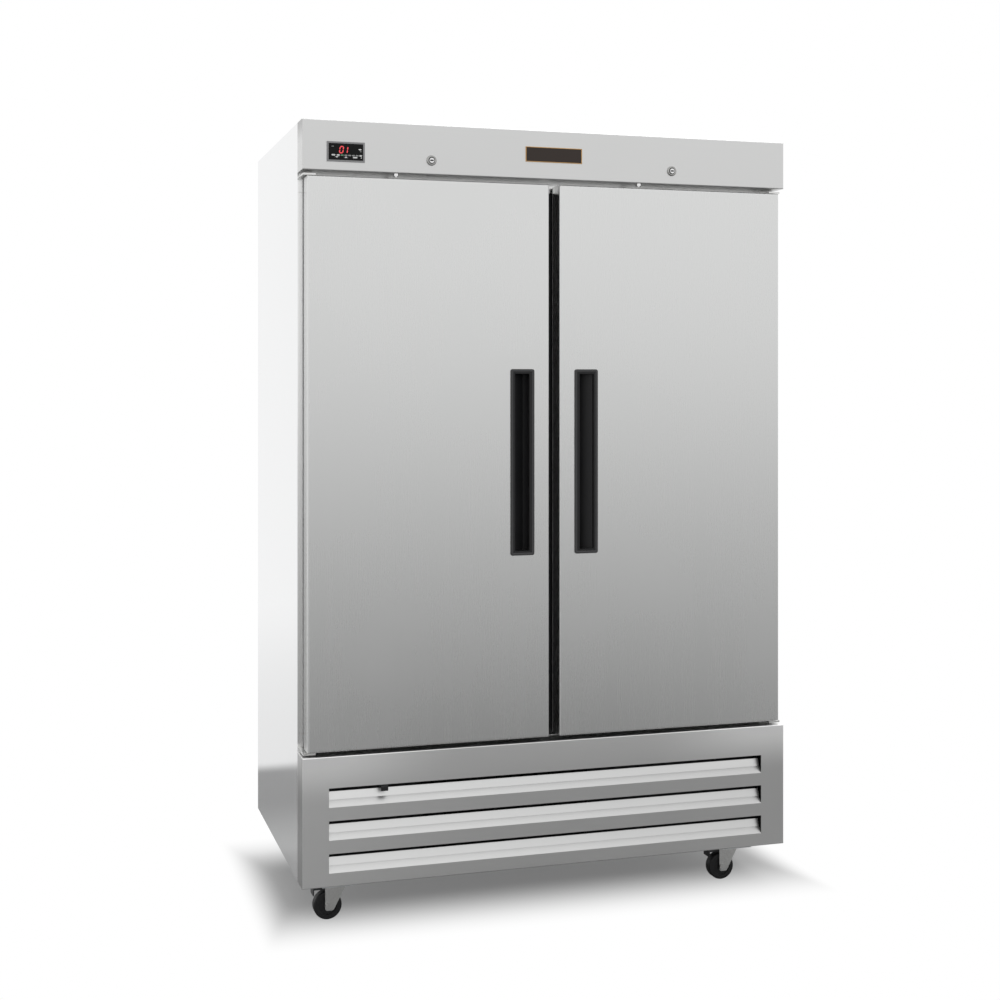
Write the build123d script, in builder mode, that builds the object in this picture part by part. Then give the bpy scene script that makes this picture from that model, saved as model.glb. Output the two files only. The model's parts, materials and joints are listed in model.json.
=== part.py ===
from build123d import *
import os
from math import hypot, sqrt

# A two-door upright freezer on casters, in millimetres.
# +Z is up, the doors face -Y and the origin is on the floor under the middle of the cabinet.

os.makedirs("parts", exist_ok=True)

# Cabinet
cabinet_width = 1372.0  # across the side panels
cabinet_depth = 800.0  # door fronts to the rear panel
cabinet_height = 1984.0  # underside of the side panels to the top
floor_gap = 130.0  # floor to the underside of the side panels
sheet = 1.2  # outer sheet metal
panel_bend = 2.4  # outside radius of the header's and grille's bent edges
wall = 60.0  # insulated wall, outside to inside
liner_sheet = 1.5
frame_strip = 3.0  # face frame round the door openings
mullion_depth = 55.0
seam = 0.5  # gap where two panels meet
running_gap = 0.3  # between faces that pass each other
pin_gap = 0.06  # radial, between a pin and its hole

# Header, doors and grille on the front
header_height = 130.5
door_top_gap = 14.0
door_bottom_gap = 11.0
door_side_gap = 15.0
door_centre_gap = 29.0
grille_height = 337.0
door_thickness = 59.0
door_edge_radius = 5.0
inner_panel_sheet = 3.0
inner_panel_rise = 7.0  # raised field of the inner panel
inner_panel_bevel = 5.6  # slope round the raised field
inner_panel_margin = 12.0  # from the gasket to the raised field
gasket_inset = 15.0  # door edge to the gasket
gasket_width = 22.0
gasket_depth = 11.7
gasket_neck = 12.0  # width of the soft waist between base and magnet bulb
gasket_base = 3.5  # thickness of the base
gasket_waist = 2.5  # height of the waist

# Recessed pulls
handle_width = 67.0
handle_height = 500.0
handle_setback = 43.0  # free edge of the door to the bezel
handle_rise = 743.0  # bottom of the door to the middle of the pull
handle_proud = 2.0
handle_rim = 12.0
handle_lip_rim = 14.0  # wider rim that the fingers hook behind
handle_lip = 7.0  # thickness of that lip
handle_undercut = 7.0
handle_wall = 2.5
handle_shallow = 9.0  # pocket depth on the hinge side
handle_deep = 30.0  # pocket depth on the free side
handle_floor = 9.0  # flat floor beside the lip
handle_corner = 6.0

# Door hinges
pivot_inset = 14.0  # hinge edge of the door to the pin
pivot_setback = 29.0  # front of the door to the pin
pin_radius = 6.0
pin_depth = 22.0  # reach of the pin into the door
bush_radius = 9.0
bush_length = 25.0
bush_flange_radius = 12.0
bush_flange = 2.0
bracket_inner = 9.0  # pin to the edge of the bracket that faces the centre
bracket_outer = 24.0  # pin to its other edge
bracket_plate = 5.0
bracket_nose = 14.0  # pin to the front end of the bracket
bracket_leg = 45.0

# Locks and door switches
lock_rise = 36.5  # header's lower edge to the lock
lock_radius = 9.0
lock_flange_radius = 11.5
lock_flange = 2.5
lock_proud = 5.0  # plug face in front of the header
lock_length = 28.0  # barrel behind the header's face
plug_radius = 6.5
key_slot = 1.4
key_slot_length = 9.0
key_slot_depth = 2.0
cam_sheet = 3.0
cam_width = 14.0
cam_engage = 11.5  # reach of the cam into the door
cam_clearance = 1.0
switch_offset = 93.0  # lock to the door switch
switch_radius = 8.0
switch_height = 7.0
switch_tip = 2.5
switch_tip_radius = 4.0
switch_setback = 14.0

# Controller
controller_inset = 114.0  # left side of the cabinet to the middle of the display
controller_rise = 49.0  # header's lower edge to the middle of the display
bezel_width = 100.0
bezel_height = 52.0
bezel_proud = 2.0
bezel_rim = 4.5
housing_width = 82.0
housing_height = 40.0
housing_depth = 45.0
window_sheet = 1.0
key_width = 15.0
key_height = 6.0
key_pitch = 24.0
key_drop = 14.0  # middle of the display to the keys
key_proud = 0.8
key_round = 0.4
key_length = 4.0
key_travel = 0.8

# Grille
louver_margin = 70.0  # side of the cabinet to the end of an opening
louver_bottom = 35.0  # lower edge of the panel to the lowest opening
louver_height = 50.0
louver_pitch = 85.0
louver_count = 3
blade_sheet = 1.5
blade_foot = 2.0  # part of a blade behind the panel under its opening
blade_knee_run = 14.0  # panel's front to the bend in a blade
blade_knee_rise = 16.7  # lower edge of the opening to that bend
blade_run = 20.0  # panel's front to the upper edge of a blade
blade_rise = 37.0  # lower edge of the opening to the upper edge of a blade
grille_foot = 20.0  # depth of the return along the bottom

# Base and casters
pan_sheet = 2.0
rail_height = 25.0
rail_width = 90.0
rail_wall = 3.0
caster_inset = 111.0  # side of the cabinet to the swivel axis
caster_front = 147.0  # front of the doors to the front swivel axis
caster_rear = 120.0  # back of the cabinet to the rear swivel axis
caster_trail = 19.0  # swivel axis to the axle
plate_length = 95.0
plate_width = 72.0
plate_sheet = 4.0
raceway_radius = 27.0
raceway_height = 8.0
kingpin_radius = 6.0
kingpin_head_radius = 10.0
kingpin_head = 3.0
crown_sheet = 4.0
wheel_radius = 38.0
wheel_width = 28.0
tread_radius = 4.0  # rounding of the tyre's shoulders
hub_radius = 25.0
hub_recess = 3.0
axle_radius = 5.0
axle_head_radius = 8.5
axle_head = 4.0
leg_gap = 1.5  # wheel to fork leg
leg_sheet = 3.0
leg_drop = 13.0  # axle to the lower end of the leg
leg_back = 8.0  # axle to the upright edge of the leg
leg_toe = 14.0  # axle to the foot of the slanted edge
leg_corner = 7.0
pedal_pin_radius = 2.5
pedal_barrel_radius = 4.0
pedal_pin_back = 4.0  # pedal pin behind the axle
pedal_sheet = 3.0
pedal_reach = 37.0
pedal_width = 38.0
pedal_lip = 18.0

# Cold unit in the base
coil_fin = 1.5
coil_fin_pitch = 9.0
condenser_spacing = 510.0  # compressor to the middle of the condenser
condenser_width = 480.0
condenser_height = 270.0
condenser_depth = 60.0
condenser_setback = 22.0  # cabinet face to the condenser
coil_spine = 14.0
shroud_depth = 40.0
shroud_wall = 2.0
fan_radius = 105.0
fan_tip_gap = 5.0
fan_hub_radius = 24.0
fan_hub = 24.0
fan_chord = 52.0
fan_pitch = 28.0  # degrees
fan_sheet = 2.5
fan_blades = 5
shaft_radius = 4.0
motor_radius = 40.0
motor_length = 62.0
motor_gap = 3.0  # hub to motor
motor_arm = 16.0
motor_arm_sheet = 4.0
compressor_inset = 286.0  # right side of the cabinet to the compressor
compressor_y = 70.0
compressor_radius = 100.0
compressor_height = 205.0
compressor_dome = 45.0
compressor_plate = 230.0
compressor_plate_sheet = 5.0
compressor_foot_radius = 14.0
compressor_foot_inset = 21.0  # plate edge to foot
compressor_foot = 14.0
drain_pan_width = 380.0
drain_pan_length = 190.0
drain_pan_height = 45.0
drain_pan_sheet = 2.0
drain_pan_spacing = 540.0  # compressor to the middle of the pan
drain_pan_back = 70.0  # rear of the cabinet to the pan
liquid_radius = 4.0
suction_radius = 8.0
discharge_radius = 5.0
line_bend = 24.0
riser_inset = 111.0  # right side of the cabinet to the liquid line's riser
riser_spacing = 34.0
riser_clearance = 1.0
line_rise = 60.0  # base pan to the lowest line
guard_inset = 15.0  # rear guard in front of the rear panel
guard_slot = 10.0
guard_slot_length = 250.0
guard_columns = 4
guard_rows = 8
gland_inset = 166.0  # left side of the cabinet to the gland
gland_rise = 210.0
gland_radius = 13.0
gland_flange_radius = 20.0
gland_flange = 4.0
gland_bore = 6.0
gland_tail = 12.0

# Cold unit over the ceiling
evaporator_margin = 196.0  # side wall of the cavity to the end of the coil
evaporator_depth = 250.0
evaporator_height = 95.0
evaporator_line_inset = 62.5  # ends of the coil to its lines
evaporator_line_offset = 23.75  # middle of the coil to its lines
evaporator_fan_radius = 88.0
evaporator_fan_setback = 125.0  # front of the coil space to the fan
evaporator_motor_length = 40.0
return_slot = 12.0
return_slot_length = 70.0
return_slots = 9
return_slot_pitch = 100.0
return_slot_back = 60.0
light_margin = 66.0  # side wall of the cavity to the end of the light
light_depth = 30.0
light_height = 16.0
light_corner = 5.3
light_setback = 57.0

# Shelves
shelf_rail = 3.5  # radius of the frame wire
shelf_brace = 3.0
shelf_wire = 1.9
shelf_wires = 21
shelf_corner = 16.0
shelf_sink = 0.7  # how far the wires are welded into the rails
shelf_braces = 2
shelf_first = 125.0  # floor of the cavity to the lowest shelf
shelf_pitch = 430.0
shelf_count = 3
shelf_end_gap = 4.0
shelf_centre_gap = 10.0
standard_width = 24.0
standard_depth = 8.0
standard_margin = 26.0  # standard's ends to floor and ceiling
standard_slot = 6.0
standard_slot_height = 14.0
standard_slot_pitch = 43.0
standard_front = 95.0  # cabinet face to the front wall standards
standard_rear = 90.0  # back wall to the rear wall standards
standard_centre = 26.0  # middle of the cabinet to the centre standards
clip_width = 18.0
clip_reach = 22.0
clip_height = 26.0
clip_sheet = 5.0

# Places worked out from the sizes above
half_width = cabinet_width / 2
inner_x = half_width - sheet
front_y = -(cabinet_depth - lock_proud) / 2
back_y = front_y + cabinet_depth
door_back_y = front_y + door_thickness
face_y = door_back_y + gasket_depth + running_gap
bottom_z = floor_gap
top_z = bottom_z + cabinet_height
grille_top_z = bottom_z + grille_height
door_bottom_z = grille_top_z + door_bottom_gap
header_bottom_z = top_z - header_height
door_top_z = header_bottom_z - door_top_gap
door_outer_x = half_width - door_side_gap
door_inner_x = door_centre_gap / 2
door_middle_x = (door_outer_x + door_inner_x) / 2
gasket_edge = gasket_inset + gasket_width
opening_bottom_z = door_bottom_z + gasket_edge
opening_top_z = door_top_z - gasket_edge
mullion_x = door_inner_x + gasket_edge
cavity_x = half_width - wall
cavity_back_y = back_y - wall
deck_z = opening_bottom_z - wall
coil_space_front_y = face_y + wall
coil_space_top_z = top_z - wall
pivot_x = door_outer_x - pivot_inset
pivot_y = front_y + pivot_setback
lock_z = header_bottom_z + lock_rise
cam_length = lock_z - door_top_z + cam_engage
cam_reach = hypot(cam_length, cam_width / 2) + cam_clearance
cam_y = front_y + lock_length + running_gap
pan_top_z = bottom_z + pan_sheet
guard_y = back_y - guard_inset
plate_top_z = bottom_z - rail_height
crown_top_z = plate_top_z - plate_sheet - raceway_height - running_gap
crown_bottom_z = crown_top_z - crown_sheet
pedal_pin_z = crown_bottom_z - pedal_barrel_radius - 2 * running_gap
leg_inner = wheel_width / 2 + leg_gap
leg_outer = leg_inner + leg_sheet
controller_x = controller_inset - half_width
louver_half_length = half_width - louver_margin
caster_x = half_width - caster_inset
compressor_x = half_width - compressor_inset
condenser_x = compressor_x - condenser_spacing
drain_pan_x = compressor_x - drain_pan_spacing
riser_x = half_width - riser_inset
gland_x = gland_inset - half_width
evaporator_width = 2 * (cavity_x - evaporator_margin)
light_length = 2 * (cavity_x - light_margin)

sides = {"left": -1, "right": 1}


def block(low, high, mode=Mode.ADD):
    """A box between two opposite corners, added to or cut from the piece being made."""
    middle = [(a + b) / 2 for a, b in zip(low, high)]
    size = [abs(b - a) for a, b in zip(low, high)]
    with Locations(tuple(middle)):
        Box(*size, mode=mode)


def rod(radius, start, end, mode=Mode.ADD):
    """A round bar between two points, added to or cut from the piece being made."""
    run = Vector(*end) - Vector(*start)
    with Locations(Plane(origin=start, z_dir=run)):
        Cylinder(radius, run.length, align=(Align.CENTER, Align.CENTER, Align.MIN), mode=mode)


def frame_of_strips(low, high, width, mode=Mode.ADD):
    """A rectangular ring in the XZ plane, as deep as the two corners are apart in Y."""
    block(low, high, mode)
    inner_low = (low[0] + width, low[1], low[2] + width)
    inner_high = (high[0] - width, high[1], high[2] - width)
    block(inner_low, inner_high, Mode.SUBTRACT)


def save(piece, name):
    """Labels a finished piece and writes it."""
    piece.label = name
    export_step(piece, f"parts/{name}.step")


# Outer cabinet
for name, side in sides.items():
    with BuildPart() as side_panel:
        block((side * inner_x, face_y, bottom_z), (side * half_width, back_y, top_z))
    save(side_panel.part, f"{name}_side_panel")

with BuildPart() as top_panel:
    block((-inner_x, face_y, top_z - sheet), (inner_x, back_y, top_z))
save(top_panel.part, "top_panel")

with BuildPart() as rear_panel:
    block((-inner_x, back_y - sheet, deck_z), (inner_x, back_y, top_z - sheet))
save(rear_panel.part, "rear_panel")

# Slotted guard behind the cold unit, with the hole for the cord gland
guard_height = deck_z - seam - bottom_z
with BuildPart() as rear_guard:
    with BuildSketch(Plane.XZ.offset(-guard_y)):
        with Locations((0, bottom_z + guard_height / 2)):
            Rectangle(2 * inner_x, guard_height)
            column_pitch = 2 * inner_x / guard_columns
            row_pitch = guard_height / (guard_rows + 1)
            with GridLocations(column_pitch, row_pitch, guard_columns, guard_rows):
                SlotOverall(guard_slot_length, guard_slot, mode=Mode.SUBTRACT)
        with Locations((gland_x, bottom_z + gland_rise)):
            Circle(gland_flange_radius)
            Circle(gland_radius + pin_gap, mode=Mode.SUBTRACT)
    extrude(amount=sheet)
save(rear_guard.part, "rear_guard")

with BuildPart() as cord_gland:
    gland_z = bottom_z + gland_rise
    inside_y = guard_y - sheet
    rod(gland_radius, (gland_x, inside_y, gland_z), (gland_x, guard_y + gland_tail, gland_z))
    rod(gland_flange_radius, (gland_x, guard_y, gland_z), (gland_x, guard_y + gland_flange, gland_z))
    rod(
        gland_bore,
        (gland_x, inside_y, gland_z),
        (gland_x, guard_y + gland_tail, gland_z),
        Mode.SUBTRACT,
    )
save(cord_gland.part, "cord_gland")


# Refrigerant lines, whose routes the foam and the panels leave room for
def line(points, radius):
    """A bent tube along straight runs with rounded corners."""
    with BuildPart() as tube:
        with BuildLine() as path:
            FilletPolyline(*points, radius=line_bend)
        with BuildSketch(Plane(path.line @ 0, z_dir=path.line % 0)):
            Circle(radius)
        sweep(path=path.line)
    return tube.part


condenser_y = face_y + condenser_setback
condenser_back_y = condenser_y + condenser_depth
condenser_mid_y = condenser_y + condenser_depth / 2
condenser_end_x = condenser_x + condenser_width / 2
low_line_z = pan_top_z + line_rise
compressor_side_x = compressor_x - compressor_radius
compressor_rear_y = compressor_y + compressor_radius
line_lane_x = (condenser_end_x + compressor_side_x) / 2
riser_y = (cavity_back_y + liner_sheet + back_y - sheet) / 2
suction_x = riser_x - riser_spacing
evaporator_end_x = evaporator_width / 2
evaporator_front_y = cavity_back_y - evaporator_depth - line_bend
evaporator_mid_z = coil_space_top_z - evaporator_height / 2
suction_low_z = pan_top_z + compressor_foot + compressor_plate_sheet + compressor_height / 2
discharge_z = suction_low_z + 2 * suction_radius + line_bend
liquid_in_y = evaporator_front_y + evaporator_depth - evaporator_line_inset
suction_out_y = evaporator_front_y + evaporator_line_inset
liquid_z = evaporator_mid_z + evaporator_line_offset
suction_z = evaporator_mid_z - evaporator_line_offset

discharge_route = [
    (compressor_side_x, compressor_y, discharge_z),
    (line_lane_x + line_bend, compressor_y, discharge_z),
    (line_lane_x + line_bend, condenser_mid_y, discharge_z),
    (condenser_end_x, condenser_mid_y, discharge_z),
]
liquid_route = [
    (condenser_end_x, condenser_mid_y, low_line_z),
    (line_lane_x, condenser_mid_y, low_line_z),
    (line_lane_x, riser_y, low_line_z),
    (riser_x, riser_y, low_line_z),
    (riser_x, riser_y, liquid_z),
    (riser_x, liquid_in_y, liquid_z),
    (evaporator_end_x, liquid_in_y, liquid_z),
]
suction_route = [
    (evaporator_end_x, suction_out_y, suction_z),
    (suction_x, suction_out_y, suction_z),
    (suction_x, riser_y, suction_z),
    (suction_x, riser_y, suction_low_z),
    (compressor_x, riser_y, suction_low_z),
    (compressor_x, compressor_rear_y, suction_low_z),
]

with BuildPart() as refrigerant_lines:
    add(line(discharge_route, discharge_radius))
    add(line(liquid_route, liquid_radius))
    add(line(suction_route, suction_radius))
save(refrigerant_lines.part, "refrigerant_lines")

# Foam between the outer cabinet and the liner
with BuildPart() as cabinet_foam:
    foam_y = face_y + frame_strip
    liner_x = cavity_x + liner_sheet
    liner_back_y = cavity_back_y + liner_sheet
    ceiling_z = opening_top_z + liner_sheet
    block((-inner_x, foam_y, deck_z), (inner_x, back_y - sheet, top_z - sheet))
    block(
        (-liner_x, foam_y, opening_bottom_z - liner_sheet),
        (liner_x, liner_back_y, ceiling_z),
        Mode.SUBTRACT,
    )
    block(
        (-liner_x, coil_space_front_y, ceiling_z),
        (liner_x, liner_back_y, coil_space_top_z),
        Mode.SUBTRACT,
    )
    for riser, radius, height in (
        (riser_x, liquid_radius + riser_clearance, liquid_z),
        (suction_x, suction_radius + riser_clearance, suction_z),
    ):
        channel_top_z = height + radius
        rod(radius, (riser, riser_y, deck_z), (riser, riser_y, channel_top_z), Mode.SUBTRACT)
        block(
            (riser - radius, liner_back_y, height - line_bend - radius),
            (riser + radius, riser_y + radius, channel_top_z),
            Mode.SUBTRACT,
        )
save(cabinet_foam.part, "cabinet_foam")

# Liner of five panels, with the fan hole and the return slots in its ceiling
fan_y = coil_space_front_y + evaporator_fan_setback
with BuildPart() as interior_liner:
    for side in sides.values():
        block(
            (side * cavity_x, face_y + frame_strip, opening_bottom_z + seam),
            (side * (cavity_x + liner_sheet), cavity_back_y - seam, opening_top_z - seam),
        )
    block(
        (-cavity_x - liner_sheet, cavity_back_y, opening_bottom_z + seam),
        (cavity_x + liner_sheet, cavity_back_y + liner_sheet, opening_top_z - seam),
    )
    for low_z, high_z in (
        (opening_bottom_z - liner_sheet, opening_bottom_z),
        (opening_top_z, opening_top_z + liner_sheet),
    ):
        block(
            (-cavity_x - liner_sheet, face_y + frame_strip, low_z),
            (cavity_x + liner_sheet, cavity_back_y + liner_sheet, high_z),
        )
    hole_radius = evaporator_fan_radius + fan_tip_gap
    rod(hole_radius, (0, fan_y, opening_top_z), (0, fan_y, opening_top_z + liner_sheet), Mode.SUBTRACT)
    with Locations((0, cavity_back_y - return_slot_back, opening_top_z + liner_sheet / 2)):
        with GridLocations(return_slot_pitch, return_slot, return_slots, 1):
            Box(return_slot_length, return_slot, liner_sheet, mode=Mode.SUBTRACT)
save(interior_liner.part, "interior_liner")

# Face frame and centre mullion, which the gaskets close against
with BuildPart() as door_frame:
    strip_y = face_y + frame_strip
    block((-inner_x, face_y, opening_top_z), (inner_x, strip_y, top_z - sheet))
    block((-inner_x, face_y, deck_z), (inner_x, strip_y, opening_bottom_z))
    for side in sides.values():
        block(
            (side * cavity_x, face_y, opening_bottom_z + seam),
            (side * inner_x, strip_y, opening_top_z - seam),
        )
save(door_frame.part, "door_frame")

with BuildPart() as center_mullion:
    block(
        (-mullion_x, face_y, opening_bottom_z),
        (mullion_x, face_y + mullion_depth, opening_top_z),
    )
    fillet(center_mullion.edges().filter_by(Axis.Z), door_edge_radius)
save(center_mullion.part, "center_mullion")

# Header panel, open at the back, with room for the hinge brackets and the lock cams
controller_z = header_bottom_z + controller_rise
bracket_low_x = pivot_x - bracket_inner
bracket_high_x = pivot_x + bracket_outer
with BuildPart() as header_panel:
    block((-half_width, front_y, header_bottom_z), (half_width, face_y, top_z))
    fillet(header_panel.faces().sort_by(Axis.Y)[0].edges(), panel_bend)
    offset(amount=-sheet, openings=header_panel.faces().sort_by(Axis.Y)[-1])
    block(
        (controller_x - housing_width / 2 - seam, front_y, controller_z - housing_height / 2 - seam),
        (controller_x + housing_width / 2 + seam, front_y + sheet, controller_z + housing_height / 2 + seam),
        Mode.SUBTRACT,
    )
    for side in sides.values():
        lock_x = side * door_middle_x
        hole_end = (lock_x, front_y + sheet, lock_z)
        rod(lock_radius + pin_gap, (lock_x, front_y, lock_z), hole_end, Mode.SUBTRACT)
        cam_slot = sqrt(cam_reach**2 - lock_rise**2)
        block(
            (lock_x - cam_width / 2 - cam_clearance, cam_y - cam_clearance, header_bottom_z),
            (lock_x + cam_slot, cam_y + cam_sheet + cam_clearance, header_bottom_z + sheet),
            Mode.SUBTRACT,
        )
        block(
            (side * (bracket_low_x - seam), face_y - bracket_plate - seam, header_bottom_z),
            (side * (bracket_high_x + seam), face_y, header_bottom_z + sheet),
            Mode.SUBTRACT,
        )
save(header_panel.part, "header_panel")

# Controller: housing with bezel, window and travelling keys
key_z = controller_z - key_drop
window_y = front_y - bezel_proud
window_back_y = window_y + window_sheet
window_x = bezel_width / 2 - bezel_rim
window_z = bezel_height / 2 - bezel_rim
key_names = ("key_down", "key_up", "key_set")
key_places = {name: controller_x + (i - 1) * key_pitch for i, name in enumerate(key_names)}
key_back_y = window_y - key_proud + key_length


def key_holes(low_y, high_y):
    """Cuts the holes that the keys slide in."""
    for key_x in key_places.values():
        block(
            (key_x - key_width / 2 - running_gap, low_y, key_z - key_height / 2 - running_gap),
            (key_x + key_width / 2 + running_gap, high_y, key_z + key_height / 2 + running_gap),
            Mode.SUBTRACT,
        )


with BuildPart() as controller_housing:
    block(
        (controller_x - bezel_width / 2, window_y, controller_z - bezel_height / 2),
        (controller_x + bezel_width / 2, front_y, controller_z + bezel_height / 2),
    )
    block(
        (controller_x - housing_width / 2, front_y, controller_z - housing_height / 2),
        (controller_x + housing_width / 2, front_y + housing_depth, controller_z + housing_height / 2),
    )
    block(
        (controller_x - window_x, window_y, controller_z - window_z),
        (controller_x + window_x, window_back_y, controller_z + window_z),
        Mode.SUBTRACT,
    )
    key_holes(window_back_y, key_back_y + key_travel + running_gap)
save(controller_housing.part, "controller_housing")

with BuildPart() as display_window:
    block(
        (controller_x - window_x, window_y, controller_z - window_z),
        (controller_x + window_x, window_back_y, controller_z + window_z),
    )
    key_holes(window_y, window_back_y)
save(display_window.part, "display_window")

for name, key_x in key_places.items():
    with BuildPart() as key:
        block(
            (key_x - key_width / 2, window_y - key_proud, key_z - key_height / 2),
            (key_x + key_width / 2, key_back_y, key_z + key_height / 2),
        )
        fillet(key.faces().sort_by(Axis.Y)[0].edges(), key_round)
    save(key.part, name)

# Locks: barrels fixed in the header, plugs that turn a cam down into the door
barrel_back_y = front_y + lock_length
with BuildPart() as lock_barrels:
    for side in sides.values():
        lock_x = side * door_middle_x
        flange_y = front_y - lock_flange
        rod(lock_flange_radius, (lock_x, flange_y, lock_z), (lock_x, front_y, lock_z))
        rod(lock_radius, (lock_x, front_y, lock_z), (lock_x, barrel_back_y, lock_z))
        bore_end = (lock_x, barrel_back_y, lock_z)
        rod(plug_radius + pin_gap, (lock_x, flange_y, lock_z), bore_end, Mode.SUBTRACT)
save(lock_barrels.part, "lock_barrels")

for name, side in sides.items():
    lock_x = side * door_middle_x
    plug_y = front_y - lock_proud
    with BuildPart() as lock_plug:
        rod(plug_radius, (lock_x, plug_y, lock_z), (lock_x, cam_y, lock_z))
        with BuildSketch(Plane.XZ.offset(-cam_y)):
            with Locations((lock_x, lock_z)):
                Circle(cam_width / 2)
            with Locations((lock_x + cam_length / 2, lock_z)):
                Rectangle(cam_length, cam_width)
        extrude(amount=-cam_sheet)
        block(
            (lock_x - key_slot_length / 2, plug_y, lock_z - key_slot / 2),
            (lock_x + key_slot_length / 2, plug_y + key_slot_depth, lock_z + key_slot / 2),
            Mode.SUBTRACT,
        )
    save(lock_plug.part, f"{name}_lock_plug")

with BuildPart() as door_switches:
    for side in sides.values():
        switch_x = side * door_middle_x - switch_offset
        switch_y = front_y + switch_setback
        switch_low_z = header_bottom_z - switch_height
        rod(switch_radius, (switch_x, switch_y, switch_low_z), (switch_x, switch_y, header_bottom_z))
        tip_low_z = switch_low_z - switch_tip
        rod(switch_tip_radius, (switch_x, switch_y, tip_low_z), (switch_x, switch_y, switch_low_z))
save(door_switches.part, "door_switches")

# Hinge brackets on the face frame, with a pin in each
top_plate_z = door_top_z + bush_flange + running_gap
bottom_plate_z = door_bottom_z - bush_flange - running_gap
with BuildPart() as hinge_brackets:
    for side in sides.values():
        for plate_z, up in ((top_plate_z, 1), (bottom_plate_z, -1)):
            far_z = plate_z + up * bracket_plate
            low_x = side * bracket_low_x
            high_x = side * bracket_high_x
            block((low_x, pivot_y - bracket_nose, plate_z), (high_x, face_y, far_z))
            block((low_x, face_y - bracket_plate, plate_z), (high_x, face_y, far_z + up * bracket_leg))
            pin_x = side * pivot_x
            rod(pin_radius + pin_gap, (pin_x, pivot_y, plate_z), (pin_x, pivot_y, far_z), Mode.SUBTRACT)
save(hinge_brackets.part, "hinge_brackets")

with BuildPart() as hinge_pins:
    for side in sides.values():
        pin_x = side * pivot_x
        rod(
            pin_radius,
            (pin_x, pivot_y, door_top_z - pin_depth),
            (pin_x, pivot_y, top_plate_z + bracket_plate),
        )
        rod(
            pin_radius,
            (pin_x, pivot_y, bottom_plate_z - bracket_plate),
            (pin_x, pivot_y, door_bottom_z + pin_depth),
        )
save(hinge_pins.part, "hinge_pins")

# Doors
handle_near = door_inner_x + handle_setback
handle_far = handle_near + handle_width
handle_z = door_bottom_z + handle_rise
mouth_near = handle_near + handle_lip_rim
mouth_far = handle_far - handle_rim
mouth_half = handle_height / 2 - handle_rim
cup_near = mouth_near - handle_undercut - handle_wall
cup_far = mouth_far + handle_wall
cup_half = mouth_half + handle_wall
cup_depth = handle_deep + handle_wall
door_foam_y = door_back_y - inner_panel_sheet


def door_hollows(side, low_y, lock_x):
    """Cuts the room for the pull's cup, the hinge bushes and the lock cam out of a door piece."""
    pocket_half = cup_half + running_gap
    pocket_back_y = front_y + cup_depth + running_gap
    block(
        (side * (cup_near - running_gap), low_y, handle_z - pocket_half),
        (side * (cup_far + running_gap), pocket_back_y, handle_z + pocket_half),
        Mode.SUBTRACT,
    )
    bush_x = side * pivot_x
    for end_z, inward in ((door_top_z, -1), (door_bottom_z, 1)):
        rod(
            bush_radius + pin_gap,
            (bush_x, pivot_y, end_z),
            (bush_x, pivot_y, end_z + inward * bush_length),
            Mode.SUBTRACT,
        )
    keep_slot = sqrt(cam_reach**2 - (lock_z - door_top_z) ** 2)
    block(
        (lock_x - cam_width / 2 - cam_clearance, cam_y - cam_clearance, lock_z - cam_reach),
        (lock_x + keep_slot, cam_y + cam_sheet + cam_clearance, door_top_z),
        Mode.SUBTRACT,
    )


def handle_outline(side, points):
    """Closes a horizontal outline given as distance from the centre line and depth behind the door front."""
    Polyline(*[(side * across, front_y + depth) for across, depth in points], close=True)


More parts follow.
